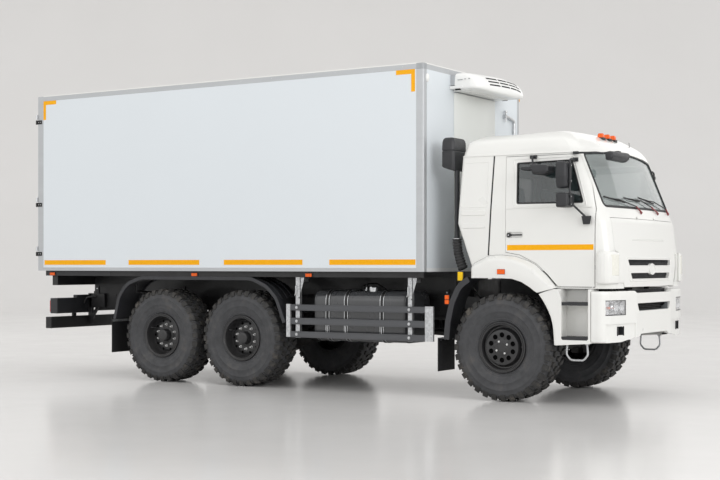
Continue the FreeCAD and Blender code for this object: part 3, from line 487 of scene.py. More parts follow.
# edge rails: outer lip, shadow groove and inner flange, on both sides
for z0, z1 in ((BZ0, 1.515), (3.845, 3.9055)):
    b.box("alu", -7.087, -1.065, -1.300, -1.225, z0, z1)
b.box("cab", -7.087, -1.050, -1.3005, -1.225, 3.906, BZ1)  # folded edge of the roof skin
b.box("alu", -7.087, -1.065, -1.3012, -1.299, 3.8485, 3.862)
b.box("alu", -7.087, -1.065, -1.3012, -1.299, 1.500, 1.5125)
b.mirror()
b.box("boxframe", -1.048, BXF, -1.22, 1.22, BZ0, 1.515)
b.box("alu", -1.048, BXF, -1.24, 1.24, 3.845, 3.9055)
b.box("cab", -1.048, BXF, -1.265, 1.265, 3.906, BZ1)
b.box("alu", BXR + 0.002, -7.102, -1.219, 1.219, BZ0, 1.554)
b.box("alu", BXR + 0.002, -7.102, -1.219, 1.219, 3.826, BZ1)
for i in range(13):  # flush screws along the rails
    for z in (1.491, 3.884):
        for s in (-1, 1):
            b.bolt("steel", (-6.95 + i * 0.475, s * 1.299, z), "y", 0.006, 0.002, 8, s)
rails = b.done("box_rails_trim", "chassis", "edge_metal", bevel=0.004)
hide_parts("box_edge_rails")

M["steel2"] = finish_mat("corner_casting", (0.38, 0.395, 0.41), 0.5, metal=0.3, var=0.05, scale=12, grain=0.2, grain_scale=200)


def offset0(pts, d):
    """A closed outline grown by d from its middle."""
    cx0, cy0 = sum(p[0] for p in pts) / len(pts), sum(p[1] for p in pts) / len(pts)
    out = []
    for x, y in pts:
        m = math.hypot(x - cx0, y - cy0)
        out.append((x + (x - cx0) / m * d, y + (y - cy0) / m * d))
    return out


b = Build()
# front corner posts: a cover with a rounded outer corner and a folded seam
corner = [(-1.065, 1.300), (-0.998, 1.300), (-0.985, 1.2965), (-0.975, 1.287), (-0.970, 1.272), (-0.970, 1.222), (-1.065, 1.222)]
b.prism("alu", "XY", [(x, -y) for x, y in corner], BZ0, 3.846)
b.prism("steel2", "XY", [(x, -y) for x, y in offset0(corner, 0.0012)], 3.8475, 3.913)
b.box("alu", -1.0665, -1.0605, -1.3015, -1.29, 1.475, 3.845)
b.mirror()
# rear posts
for s in (-1, 1):
    b.box("alu", BXR, -7.087, s * 1.300, s * 1.2205, BZ0, 3.913)
    b.box("alu", -7.0925, -7.0865, s * 1.3012, s * 1.29, 1.475, 3.900)
    for z in (3.6, 2.44, 1.75):  # hinge knuckles and their leaves on the posts
        b.box("cast", -7.205, -7.115, s * 1.3055, s * 1.2995, z - 0.072, z - 0.018)
        b.lathe("cast", [(0.0005, 0), (0.013, 0), (0.013, 0.058), (0.0005, 0.058)], (-7.205, s * 1.312, z - 0.075), "z", 20, closed=False)
        for dx in (0.03, 0.065):
            b.bolt("steel", (-7.205 + dx, s * 1.3055, z - 0.045), "y", 0.007, 0.005, 6, s)
posts = b.done("box_corner_posts", "chassis", "edge_metal", bevel=0.003)
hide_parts("box_posts")

# reflective outline film on both sides and the front corners
b = Build()
for x0, x1 in ((-7.067, -5.92), (-5.51, -4.30), (-3.90, -2.68), (-2.284, -1.077)):
    b.box("tape", x0, x1, -1.3000, -1.3008, 1.551, 1.616)
for xo, xi in ((-7.09, -6.843), (-1.083, -1.342)):
    w = 0.052 if xi > xo else -0.052
    out = [(xo, 3.846), (xi, 3.846), (xi, 3.792), (xo + w, 3.792), (xo + w, 3.583), (xo, 3.583)]
    b.prism("tape", "XZ", out, -1.3008, -1.3000)
b.mirror()
b.box("tape", BXF - 0.035, BXF - 0.002, 1.3008, 1.3040, 3.716, 3.846)
b.done("reflective_outline", "chassis", "box_panel")

# small round vent and latch on the front wall, and the drain tube with its valve arm
b = Build()
b.ball("unit", (BXF, -1.210, 3.748), 0.034, 24, 0.7, 1.0, 1.5)
b.ball("unit", (BXF, -1.210, 3.712), 0.022, 16, 0.7, 1.0, 0.8)
tube = round_path([(-0.945, 1.08, 1.75), (-0.945, 1.08, 3.44), (-0.945, 0.90, 3.475), (-0.945, 0.81, 3.475)], 0.05)
b.tube("steel", tube, 0.017, 14)
for z in (1.9, 2.5, 3.1):
    b.box("steel", -0.972, -0.945, 1.058, 1.102, z, z + 0.03)
b.tube("steel", [(-0.972, 0.81, 3.475), (-0.925, 0.81, 3.475)], 0.026, 16)
b.tube("steel", [(-0.935, 0.81, 3.52), (-0.935, 0.81, 3.40)], 0.010, 12)
b.lathe("steel", [(0.0005, 0), (0.020, 0), (0.024, 0.012), (0.020, 0.03), (0.0005, 0.03)], (-0.935, 0.81, 3.52), "z", 16, closed=False)
b.done("front_wall_fittings", "chassis", "steel", angle=40)


def rear_leaf(side, s):
    b = Build()
    y0, y1 = 0.005, 1.213
    z0, z1 = 1.562, 3.788
    b.box("boxskin", -7.190, -7.112, s * (y0 + 0.012), s * (y1 - 0.012), z0 + 0.012, z1 - 0.012)
    fr = [(y0 + 0.0, y0 + 0.045), (y1 - 0.045, y1)]
    for a, c in fr:  # aluminium edge frame round the leaf
        b.box("alu", -7.1925, -7.110, s * a, s * c, z0, z1)
    for a, c in ((z0, z0 + 0.045), (z1 - 0.045, z1)):
        b.box("alu", -7.1925, -7.110, s * (y0 + 0.045), s * (y1 - 0.045), a, c)
    # double lip seal standing just inside the edge
    for a, c, d, e in ((y0 + 0.008, y0 + 0.016, z0, z1), (y1 - 0.016, y1 - 0.008, z0, z1)):
        b.box("rubber", -7.194, -7.1925, s * a, s * c, d + 0.008, e - 0.008)
    for a in (z0 + 0.008, z1 - 0.016):
        b.box("rubber", -7.194, -7.1925, s * (y0 + 0.008), s * (y1 - 0.008), a, a + 0.008)
    for z in (3.6, 2.44, 1.75):  # strap hinges
        strap = [(1.312, z + 0.058), (1.312, z - 0.004), (1.05, z - 0.004), (0.965, z + 0.012), (0.965, z + 0.042), (1.05, z + 0.058)]
        b.prism("steel", "YZ", [(s * y, q) for y, q in strap], -7.2045, -7.1925)
        b.lathe("steel", [(0.0005, 0), (0.013, 0), (0.013, 0.068), (0.0005, 0.068)], (-7.205, s * 1.312, z - 0.007), "z", 20, closed=False)
        for y in (1.17, 1.08, 1.0):
            b.bolt("steel", (-7.2045, s * y, z + 0.027), "x", 0.009, 0.006, 6, -1)
    for y in (1.080, 0.130):  # lock rods, cams, guides and handles
        b.tube("galv", [(-7.206, s * y, 1.582), (-7.206, s * y, 3.778)], 0.012, 16)
        for z in (1.64, 2.30, 3.05, 3.68):
            b.box("galv", -7.202, -7.1925, s * (y - 0.040), s * (y + 0.040), z, z + 0.05)
            b.box("galv", -7.221, -7.200, s * (y - 0.018), s * (y + 0.018), z + 0.008, z + 0.042)
            for dy in (-0.029, 0.029):
                b.bolt("steel", (-7.202, s * (y + dy), z + 0.025), "x", 0.006, 0.004, 6, -1)
        for z in (1.585, 3.745):
            b.box("galv", -7.222, -7.194, s * (y - 0.020), s * (y + 0.020), z, z + 0.028)
        d = 0.19 if y < 0.5 else -0.19
        b.tube("galv", round_path([(-7.214, s * y, 2.08), (-7.228, s * (y + d * 0.3), 2.08), (-7.228, s * (y + d), 2.08)], 0.03), 0.0095, 12)
        b.box("galv", -7.226, -7.1925, s * (y + d * 0.86), s * (y + d), 2.055, 2.068)
    o = b.done("rear_door_leaf_" + side, "box_door_" + side, "box_panel", bevel=0.0025)
    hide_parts("rear_door_" + side)


rear_leaf("right", -1)
rear_leaf("left", 1)

# ------------------------------------------------------------------ refrigeration unit
b = Build()


def unit_plan(grow, back=-0.905):
    """The hood's outline seen from above, front corners rounded."""
    pts = [(back, -0.65 + grow), (-0.73, -0.65 + grow)]
    for k in range(11):
        t = rad(90 * k / 10)
        pts.append((-0.70 + 0.165 * math.sin(t), -0.65 + grow + (0.23 - grow * 0.5) * (1 - math.cos(t))))
    n = 12
    for k in range(1, n):
        y = -0.42 + 0.84 * k / n
        pts.append((-0.535 + 0.063 * (1 - (y / 0.42) ** 2), y))
    for k in range(11):
        t = rad(90 * (10 - k) / 10)
        pts.append((-0.70 + 0.165 * math.sin(t), 0.65 - grow - (0.23 - grow * 0.5) * (1 - math.cos(t))))
    pts += [(-0.73, 0.65 - grow), (back, 0.65 - grow)]
    return pts


UNIT = [(3.620, 0.034, -0.044), (3.6235, 0.020, -0.024), (3.630, 0.009, -0.009), (3.644, 0.001, 0.0), (3.690, 0.0, 0.0), (3.725, 0.001, -0.008),
        (3.755, 0.003, -0.024), (3.785, 0.006, -0.046), (3.812, 0.012, -0.072), (3.833, 0.021, -0.105), (3.850, 0.036, -0.150), (3.862, 0.060, -0.205), (3.869, 0.095, -0.27)]
rings = []
for z, grow, dx in UNIT:  # the plan shrinks towards the crown, more at the front
    lift = 0.042 * max(0.0, min(1.0, (3.70 - z) / 0.08))  # the foot rises towards both ends
    rings.append([((x if x < -0.9 else max(x + dx * min(1, (x + 0.905) / 0.36), -0.90)), y, z + lift * (y / 0.65) ** 2) for x, y in unit_plan(grow)])
n = len(rings[0])
v = [p for r in rings for p in r]
f = [(i * n + j, i * n + j + 1, (i + 1) * n + j + 1, (i + 1) * n + j) for i in range(len(rings) - 1) for j in range(n - 1)]
f += [(i * n + n - 1, i * n, (i + 1) * n, (i + 1) * n + n - 1) for i in range(len(rings) - 1)]
f += [tuple(range(n))[::-1], tuple(range((len(rings) - 1) * n, len(rings) * n))]
b.add(v, f, "unit")
hood = b.done("refrigeration_hood", "chassis", "unit_plastic", angle=50)
b = Build()


def unit_front(y, z):
    """The hood's front x at a place across and a height."""
    base = -0.535 + 0.063 * (1 - (y / 0.42) ** 2) if abs(y) < 0.42 else -0.70 + 0.165 * math.sqrt(max(0.0, 1 - ((abs(y) - 0.42) / 0.23) ** 2))
    for (za, ga, da), (zb, gb, db) in zip(UNIT, UNIT[1:]):
        if za <= z <= zb:
            return base + da + (db - da) * (z - za) / (zb - za)
    return base


for z in (3.722, 3.762, 3.802):  # three rows of long air slots
    for yc in (-0.330, -0.110, 0.110, 0.330):
        run = [yc - 0.098 + 0.196 * k / 8 for k in range(9)]
        v = []
        for y in run:
            for dz in (-0.0085, 0.0085):
                for d in (0.0015, -0.020):
                    v.append((unit_front(y, z + dz) + d, y, z + dz))
        fs = []
        for k in range(8):
            a, c = 4 * k, 4 * k + 4
            fs += [(a, a + 2, c + 2, c), (a + 1, c + 1, c + 3, a + 3), (a, c, c + 1, a + 1), (a + 2, a + 3, c + 3, c + 2)]
        fs += [(0, 1, 3, 2), (32, 34, 35, 33)]
        # each slot is a near-black block on the hood: painted shade inside the slot
        b.add(v, fs, "dark")
for s in (-1, 1):
    for x0, x1, z in ((-0.865, -0.80, 3.776), (-0.775, -0.755, 3.782), (-0.72, -0.70, 3.784)):
        # thin grey strips on the hood's sides: painted shade of shallow slots
        b.box("interior", x0, x1, s * 0.644, s * 0.6515, z - 0.003, z + 0.003)
slots = b.done("refrigeration_slots", "chassis", "unit_plastic")
b = Build()
# raised panel under the hood; its grey-green colour is painted shade from the hood above
b.prism("gelcoat", "XY", [(-0.969, -0.555), (-0.936, -0.500), (-0.936, 0.500), (-0.969, 0.555)], 1.90, 3.640)
panel = b.done("refrigeration_back_panel", "chassis", "unit_plastic", bevel=0.008, seg=3)
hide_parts("refrigeration_unit")
b = Build()
b.box("alu", -0.969, -0.9055, -0.635, 0.635, 3.715, 3.845)  # frame between the wall and the hood
b.box("unit", -0.968, -0.79, -0.660, -0.560, 3.672, 3.706)  # shelf brackets
# near-black block under the shelf bracket: painted shadow
b.box("dark", -0.90, -0.83, -0.652, -0.62, 3.655, 3.671)
b.mirror()
b.box("unit", -0.968, -0.79, -0.56, 0.56, 3.650, 3.700)
b.done("refrigeration_bracket", "chassis", "black_plastic", bevel=0.004)


# ------------------------------------------------------------------ wheels
def tyre_mesh(name, x, s, body):
    """A deep-tread off-road tyre: ringed sidewalls, shoulder blocks that wrap over, staggered middle blocks."""
    b = Build()
    c = (x, s * 1.025, WZ)
    R = WR
    prof = [(0.276, 0.150), (0.284, 0.166), (0.297, 0.172), (0.303, 0.180), (0.309, 0.1835), (0.315, 0.181), (0.320, 0.1865), (0.327, 0.190),
            (0.334, 0.1885), (0.342, 0.193), (0.375, 0.2015), (0.405, 0.2065), (0.4085, 0.2095), (0.414, 0.2098), (0.4175, 0.2078),
            (0.450, 0.2105), (0.485, 0.2100), (0.4885, 0.2122), (0.494, 0.2122), (0.4975, 0.2090), (0.530, 0.2050), (0.556, 0.1985), (0.575, 0.189),
            (0.586, 0.176), (0.590, 0.150), (0.592, 0.08), (0.592, 0.0)]
    full = [(r, y) for r, y in prof] + [(r, -y) for r, y in prof[::-1][1:]]
    k = 21
    b.lathe("tyre", full, c, "y", 120, closed=True)
    N = 32

    def block(key, poly, r0, r1, taper=0.93):
        """A block on the tread: poly is (across, angle); taper narrows its top."""
        cy = sum(p[0] for p in poly) / len(poly)
        ct = sum(p[1] for p in poly) / len(poly)
        v = []
        for r, tp in ((r0, 1.0), (r1, taper)):
            for y, t in poly:
                yy, tt = cy + (y - cy) * tp, ct + (t - ct) * tp
                rr = r if not callable(r) else r(yy)
                v.append((c[0] + rr * math.cos(tt), c[1] + yy, c[2] + rr * math.sin(tt)))
        n = len(poly)
        fs = [tuple(range(n)), tuple(range(2 * n - 1, n - 1, -1))] + [(i, n + i, n + (i + 1) % n, (i + 1) % n) for i in range(n)]
        b.add(v, fs, key)

    crown = lambda y: R - 0.0004 - 0.10 * max(0, abs(y) - 0.10) ** 1.5 * 1.6
    base = lambda y: 0.587 - 0.9 * max(0, abs(y) - 0.17)
    p = 2 * math.pi / N
    for i in range(N):
        t = i * p
        for q, off in ((-1, 0.0), (1, 0.5 * p)):
            w = 0.30 * p
            sl = 0.30 * p
            # shoulder block, wider outside, leaning with the turn
            block("tread", [(q * 0.100, t + off - w * 0.85), (q * 0.190, t + off - w + sl * 0.5), (q * 0.190, t + off + w + sl * 0.5), (q * 0.100, t + off + w * 0.55)], base, crown)
            # its foot, which wraps down the sidewall
            v = []
            for yy, rr in ((0.186, 0.604), (0.2085, 0.578), (0.2118, 0.545), (0.203, 0.540), (0.180, 0.570)):
                for dt in (-w * 0.92, w * 0.92):
                    tt = t + off + dt + sl * 0.5
                    v.append((c[0] + rr * math.cos(tt), c[1] + q * yy, c[2] + rr * math.sin(tt)))
            m = 5
            fs = [tuple(2 * a for a in range(m)), tuple(2 * a + 1 for a in range(m))[::-1]] + [(2 * a, 2 * a + 1, (2 * a + 3) % (2 * m), (2 * a + 2) % (2 * m)) for a in range(m)]
            b.add(v, fs, "tread")
            # middle blocks, hooked
            block("tread", [(q * 0.012, t + off + 0.5 * p - w * 0.75), (q * 0.058, t + off + 0.42 * p - w), (q * 0.088, t + off + 0.5 * p - w * 0.8),
                            (q * 0.088, t + off + 0.55 * p + w * 0.55), (q * 0.050, t + off + 0.5 * p + w * 0.8), (q * 0.012, t + off + 0.46 * p + w * 0.6)], base, crown)
            # small rib between two shoulder blocks
            v = []
            for yy, rr in ((0.188, 0.588), (0.2035, 0.560), (0.2035, 0.552), (0.185, 0.580)):
                for dt in (-w * 0.22, w * 0.22):
                    tt = t + off + 0.5 * p + dt + sl * 0.5
                    v.append((c[0] + rr * math.cos(tt), c[1] + q * yy, c[2] + rr * math.sin(tt)))
            fs = [(0, 2, 4, 6), (7, 5, 3, 1)] + [(2 * a, 2 * a + 1, (2 * a + 3) % 8, (2 * a + 2) % 8) for a in range(4)]
            b.add(v, fs, "tread")
    for q in (-1, 1):  # short ribs round the rim seat and the carcass ring
        for i in range(48):
            t = 2 * math.pi * i / 48
            a, d = 0.010, 0.004
            v = []
            for rr, yy in ((0.425, 0.2085), (0.445, 0.2098)):
                for dt in (-0.006, 0.006):
                    for lift in (0, 0.0018):
                        v.append((c[0] + rr * math.cos(t + dt), c[1] + q * (yy + lift), c[2] + rr * math.sin(t + dt)))
            b.add(v, [(0, 2, 3, 1), (4, 5, 7, 6), (0, 1, 5, 4), (2, 6, 7, 3), (1, 3, 7, 5), (0, 4, 6, 2)], "tyre")
    o = b.done(name, body, "tyre", angle=38)
    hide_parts(body + "_tyre")
    return o


def rim_front(name, x, s, body):
    b = Build()
    c = (x, s * 1.025, WZ)
    ring = [(0.2745, 0.150), (0.276, 0.166), (0.290, 0.172), (0.2915, 0.182), (0.288, 0.190), (0.280, 0.192), (0.276, 0.186), (0.268, 0.184),
            (0.264, 0.190), (0.256, 0.190), (0.252, 0.183), (0.246, 0.150), (0.240, 0.132), (0.226, 0.130), (0.214, 0.142), (0.205, 0.172),
            (0.199, 0.181), (0.190, 0.184), (0.120, 0.184), (0.090, 0.186), (0.082, 0.190), (0.060, 0.190), (0.052, 0.196), (0.0005, 0.197),
            (0.0005, 0.150), (0.190, 0.150), (0.214, 0.110), (0.250, 0.090), (0.252, -0.12), (0.264, -0.178), (0.288, -0.180), (0.276, -0.160), (0.2745, -0.150)]
    b.lathe("rim", ring, c, "y", 96, s, closed=True)
    for i in range(10):  # round holes in the disc: dark cups with a raised lip
        t = 2 * math.pi * (i + 0.5) / 10
        p = (c[0] + 0.143 * math.cos(t), c[1], c[2] + 0.143 * math.sin(t))
        b.lathe("rim", [(0.0325, 0.178), (0.0325, 0.1872), (0.0290, 0.1872), (0.0280, 0.181), (0.0280, 0.178)], p, "y", 24, s, closed=True)
        # black disc in each hole: painted shade behind the hole
        b.lathe("hole", [(0.0005, 0.1850), (0.0287, 0.1850)], p, "y", 24, s, closed=False)
    for i in range(4):
        t = 2 * math.pi * (i + 0.32) / 4
        p = (c[0] + 0.074 * math.cos(t), c[1] + s * 0.188, c[2] + 0.074 * math.sin(t))
        b.lathe("nut", [(0.0005, 0), (0.0135, 0), (0.0135, 0.003), (0.010, 0.003), (0.010, 0.011), (0.008, 0.013), (0.0005, 0.013)], p, "y", 6, s, closed=False)
    for i in range(10):
        t = 2 * math.pi * i / 10
        b.bolt("rim", (c[0] + 0.104 * math.cos(t), c[1] + s * 0.184, c[2] + 0.104 * math.sin(t)), "y", 0.0085, 0.007, 6, s)
    b.tube("rim", [(c[0] + 0.235, c[1] + s * 0.130, c[2] + 0.01), (c[0] + 0.240, c[1] + s * 0.180, c[2] + 0.012)], 0.006, 10)
    o = b.done(name, body, "rim_paint", angle=32)
    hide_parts(body + "_rim")


def rim_rear(name, x, s, body):
    b = Build()
    c = (x, s * 1.025, WZ)
    ring = [(0.2745, 0.150), (0.276, 0.166), (0.290, 0.172), (0.2915, 0.181), (0.288, 0.188), (0.280, 0.190), (0.276, 0.185), (0.268, 0.183),
            (0.264, 0.188), (0.256, 0.188), (0.252, 0.180), (0.247, 0.140), (0.240, 0.080), (0.225, 0.060), (0.212, 0.062), (0.200, 0.072),
            (0.185, 0.076), (0.100, 0.076), (0.0005, 0.076), (0.0005, 0.050), (0.200, 0.050), (0.250, 0.030), (0.252, -0.12), (0.264, -0.178),
            (0.288, -0.180), (0.276, -0.160), (0.2745, -0.150)]
    b.lathe("rim", ring, c, "y", 96, s, closed=True)
    hub = [(0.108, 0.074), (0.108, 0.082), (0.098, 0.086), (0.086, 0.088), (0.082, 0.100), (0.080, 0.150), (0.074, 0.166), (0.060, 0.174), (0.030, 0.176), (0.0005, 0.176)]
    b.lathe("rim", hub, c, "y", 64, s, closed=False)
    for i in range(10):
        t = 2 * math.pi * (i + 0.5) / 10
        p = (c[0] + 0.143 * math.cos(t), c[1] + s * 0.076, c[2] + 0.143 * math.sin(t))
        b.lathe("nut", [(0.0005, 0), (0.0175, 0), (0.0175, 0.004), (0.014, 0.005), (0.0135, 0.020), (0.011, 0.023), (0.008, 0.023), (0.008, 0.034), (0.0005, 0.035)], p, "y", 6, s, closed=False)
    for i in range(10):
        t = 2 * math.pi * i / 10
        p = (c[0] + 0.192 * math.cos(t), c[1], c[2] + 0.192 * math.sin(t))
        # black disc in each hole: painted shade behind the hole
        b.lathe("hole", [(0.0005, 0.0768), (0.0165, 0.0768)], p, "y", 20, s, closed=False)
        b.bolt("rim", (c[0] + 0.092 * math.cos(t), c[1] + s * 0.087, c[2] + 0.092 * math.sin(t)), "y", 0.006, 0.005, 6, s)
    b.tube("steel", [(c[0] - 0.20, c[1] + s * 0.070, c[2] + 0.09), (c[0] - 0.215, c[1] + s * 0.150, c[2] + 0.10)], 0.005, 10)
    o = b.done(name, body, "rim_paint", angle=32)
    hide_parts(body + "_rim")


for row, x in (("front", 0.0), ("middle", MIDX), ("rear", REARX)):
    for side, s in (("right", -1), ("left", 1)):
        body = "%s_wheel_%s" % (row, side)
        tyre_mesh("tyre_" + body, x, s, body)
        (rim_front if row == "front" else rim_rear)("rim_" + body, x, s, body)

paint("knuckle_right", "cast")
paint("knuckle_left", "cast")
for node in ("frame_rails", "frame_crossmembers", "box_subframe", "subframe_bearers"):
    paint(node, "chassis")
for node in ("axles", "driveline", "engine_block"):
    paint(node, "cast")

# ------------------------------------------------------------------ cab form
# level sections of the cab's skin: height, rear x, side front x, shoulder x, shoulder y, centre x, half width
CAB = [(1.290, -0.420, 1.120, 1.288, 1.040, 1.330, 1.160), (1.530, -0.420, 1.120, 1.288, 1.040, 1.330, 1.160),
       (2.030, -0.600, 1.060, 1.228, 1.030, 1.270, 1.160), (2.190, -0.590, 1.000, 1.166, 1.000, 1.222, 1.160),
       (2.800, -0.546, 0.800, 0.912, 1.000, 1.000, 1.138)]
ROOF = [(2.800, -0.546, 0.800, 0.912, 1.000, 1.000, 1.138), (2.885, -0.526, 0.772, 0.876, 0.965, 0.968, 1.118),
        (2.985, -0.488, 0.660, 0.770, 0.890, 0.850, 1.050), (3.055, -0.340, 0.510, 0.610, 0.720, 0.660, 0.850)]
LEVELS = [1.290, 1.35, 1.41, 1.47, 1.530, 1.56, 1.60, 1.66, 1.72, 1.78, 1.84, 1.90, 1.95, 1.99, 2.010, 2.030, 2.050, 2.09, 2.13, 2.165,
          2.178, 2.190, 2.202, 2.22, 2.28, 2.36, 2.45, 2.54, 2.63, 2.72, 2.800]


def row_at(rows, z):
    for a, c in zip(rows, rows[1:]):
        if z <= c[0] + 1e-9:
            t = (z - a[0]) / (c[0] - a[0])
            return [p + (q - p) * t for p, q in zip(a, c)]
    return list(rows[-1])


def smooth_row(rows, z):
    """The same, eased through the rows (cardinal spline), for the roof."""
    for i in range(len(rows) - 1):
        a, c = rows[i], rows[i + 1]
        if z <= c[0] + 1e-9:
            t = (z - a[0]) / (c[0] - a[0])
            out = [z]
            for j in range(1, 7):
                m0 = (c[j] - rows[i - 1][j]) / (c[0] - rows[i - 1][0]) * (c[0] - a[0]) if i else (c[j] - a[j]) * 0.6
                m1 = (rows[i + 2][j] - a[j]) / (rows[i + 2][0] - a[0]) * (c[0] - a[0]) if i + 2 < len(rows) else (c[j] - a[j]) * 1.5
                h = (2 * t ** 3 - 3 * t ** 2 + 1, t ** 3 - 2 * t ** 2 + t, -2 * t ** 3 + 3 * t ** 2, t ** 3 - t ** 2)
                out.append(h[0] * a[j] + h[1] * m0 + h[2] * c[j] + h[3] * m1)
            return out
    return list(rows[-1])


def arc3(p, q, r, n):
    """n + 1 points on the circle through p, q, r, from p to r."""
    ax, ay, bx, by, cx, cy = *p, *q, *r
    d = 2 * (ax * (by - cy) + bx * (cy - ay) + cx * (ay - by))
    ux = ((ax * ax + ay * ay) * (by - cy) + (bx * bx + by * by) * (cy - ay) + (cx * cx + cy * cy) * (ay - by)) / d
    uy = ((ax * ax + ay * ay) * (cx - bx) + (bx * bx + by * by) * (ax - cx) + (cx * cx + cy * cy) * (bx - ax)) / d
    R = math.hypot(ax - ux, ay - uy)
    t0, tm, t1 = (math.atan2(y - uy, x - ux) for x, y in (p, q, r))
    while tm < t0:
        tm += 2 * math.pi
    while t1 < t0:
        t1 += 2 * math.pi
    if tm > t1:  # the other way round
        t1 -= 2 * math.pi
    return [(ux + R * math.cos(t0 + (t1 - t0) * k / n), uy + R * math.sin(t0 + (t1 - t0) * k / n)) for k in range(n + 1)]


def ring_pts(row, inset=0.0, rear=0.035, nc=12, nf=40):
    """The section as a closed run of points, from the rear right corner forward and round."""
    z, xr, xs, xa, ya, xc, hw = row
    xr, xs, xa, ya, xc, hw = xr + inset, xs - inset * 0.3, xa - inset * 0.8, ya - inset * 0.6, xc - inset, hw - inset
    rear = max(0.004, rear - inset * 0.5)
    half = [(xr + rear - rear * math.sin(rad(90 * k / 6)), -hw + rear - rear * math.cos(rad(90 * k / 6))) for k in range(6, -1, -1)]
    half += [(xr + rear + (xs - xr - rear) * k / 5, -hw) for k in range(1, 5)]
    corner = arc3((xs, -hw), (xs + 0.62 * (xa - xs), -(hw - 0.30 * (hw - ya))), (xa, -ya), nc)
    front = arc3((xa, -ya), (xc, 0.0), (xa, ya), nf)
    run = half + corner + front[1:-1] + [(x, -y) for x, y in corner[::-1]] + [(x, -y) for x, y in half[::-1]]
    wide = hw - rear
    return run + [(xr, wide * (1 - 2 * k / 6)) for k in range(1, 6)]


def skin_x(y, z, inset=0.0, rows=None):
    """The skin's front x at a height and a place across."""
    row = row_at(rows or (CAB if z <= 2.8 else [CAB[-1], ROOF[1], ROOF[2], ROOF[3]]), z)
    pts = ring_pts(row, inset)
    a = -abs(y)
    run = [p for p in pts if p[1] <= 0.0 and p[0] > row[2] - 0.02]
    best = run[0][0]
    for p, q in zip(run, run[1:]):
        if p[1] <= a <= q[1]:
            t = (a - p[1]) / (q[1] - p[1]) if q[1] > p[1] else 0
            return p[0] + (q[0] - p[0]) * t
    return max(p[0] for p in run) if abs(y) < 0.1 else best


def half_width(z):
    return row_at(CAB if z <= 2.8 else ROOF, z)[6]


def raw(build, name="tool"):
    """A plain object from a Build, not yet part of the frame."""
    me = bpy.data.meshes.new(name)
    me.from_pydata([(x + FX, y, z) for x, y, z in build.v], [], build.f)
    for key in build.mats:
        me.materials.append(M[key])
    me.polygons.foreach_set("material_index", build.m)
    bm = bmesh.new()
    bm.from_mesh(me)
    bmesh.ops.remove_doubles(bm, verts=bm.verts, dist=1e-6)
    bmesh.ops.recalc_face_normals(bm, faces=bm.faces)
    bm.to_mesh(me)
    bm.free()
    o = bpy.data.objects.new(name, me)
    bpy.context.scene.collection.objects.link(o)
    return o


def tool(plane, pts, a, b, key="cab"):
    t = Build()
    t.prism(key, plane, pts, a, b)
    return raw(t)


def box_tool(x0, x1, y0, y1, z0, z1, key="cab"):
    t = Build()
    t.box(key, x0, x1, y0, y1, z0, z1)
    return raw(t)


def carve(o, tools, op="DIFFERENCE", keep=False):
    for t in tools:
        m = o.modifiers.new("cut", "BOOLEAN")
        m.operation = op
        m.solver = "EXACT"
        m.object = t
    dg = bpy.context.evaluated_depsgraph_get()
    me = bpy.data.meshes.new_from_object(o.evaluated_get(dg))
    o.modifiers.clear()
    o.data = me
    if not keep:
        for t in tools:
            bpy.data.objects.remove(t, do_unlink=True)
    return o


def settle(o, name, body, angle=32, bevel=0.0, seg=2):
    """Tidies a carved object and hands it to its body."""
    bm = bmesh.new()
    bm.from_mesh(o.data)
    bmesh.ops.remove_doubles(bm, verts=bm.verts, dist=2e-5)
    bmesh.ops.dissolve_degenerate(bm, edges=bm.edges, dist=1e-5)
    bm.to_mesh(o.data)
    bm.free()
    o.name = name
    o.data.name = name
    me = o.data
    me.polygons.foreach_set("use_smooth", [True] * len(me.polygons))
    if bevel > 0:
        b = o.modifiers.new("edges", "BEVEL")
        b.width = bevel
        b.segments = seg
        b.limit_method = "ANGLE"
        b.angle_limit = rad(angle)
        b.harden_normals = True
        b.use_clamp_overlap = True
    else:
        me.set_sharp_from_angle(angle=rad(angle))
    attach(o, body)
    return o


def band(rows, levels, o, i, key="cab", inner="lining", row_fn=row_at, rear=0.035):
    """A closed wall between the form stepped in by o and by i."""
    b = Build()
    rings = [[(x, y, z) for x, y in ring_pts(row_fn(rows, z), o, rear)] for z in levels]
    ins = [[(x, y, z) for x, y in ring_pts(row_fn(rows, z), i, rear)] for z in levels]
    n, k = len(rings[0]), len(rings)
    v = [p for r in rings for p in r] + [p for r in ins for p in r]
    f1 = [(a * n + j, a * n + (j + 1) % n, (a + 1) * n + (j + 1) % n, (a + 1) * n + j) for a in range(k - 1) for j in range(n)]
    h = n * k
    f2 = [(h + a * n + (j + 1) % n, h + a * n + j, h + (a + 1) * n + j, h + (a + 1) * n + (j + 1) % n) for a in range(k - 1) for j in range(n)]
    f3 = [((j + 1) % n, j, h + j, h + (j + 1) % n) for j in range(n)]
    t = (k - 1) * n
    f4 = [(t + j, t + (j + 1) % n, h + t + (j + 1) % n, h + t + j) for j in range(n)]
    b.add(v, f1 + f3 + f4, key)
    b.f += f2
    b.m += [b.mat(inner)] * len(f2)
    return b


def offset(pts, d):
    """A closed outline moved outward by d (inward if negative), corners mitred."""
    n = len(pts)
    area = sum(p[0] * r[1] - r[0] * p[1] for p, r in zip(pts, pts[1:] + pts[:1]))
    w = 1 if area > 0 else -1
    out = []
    for i in range(n):
        a, b, c = pts[i - 1], pts[i], pts[(i + 1) % n]
        u = Vector((b[0] - a[0], b[1] - a[1])).normalized()
        v = Vector((c[0] - b[0], c[1] - b[1])).normalized()
        nu, nv = Vector((u.y, -u.x)) * w, Vector((v.y, -v.x)) * w
        m = nu + nv
        m = m / max(0.25, m.dot(nu)) if m.length > 1e-6 else nu
        out.append((b[0] + m.x * d, b[1] + m.y * d))
    return out


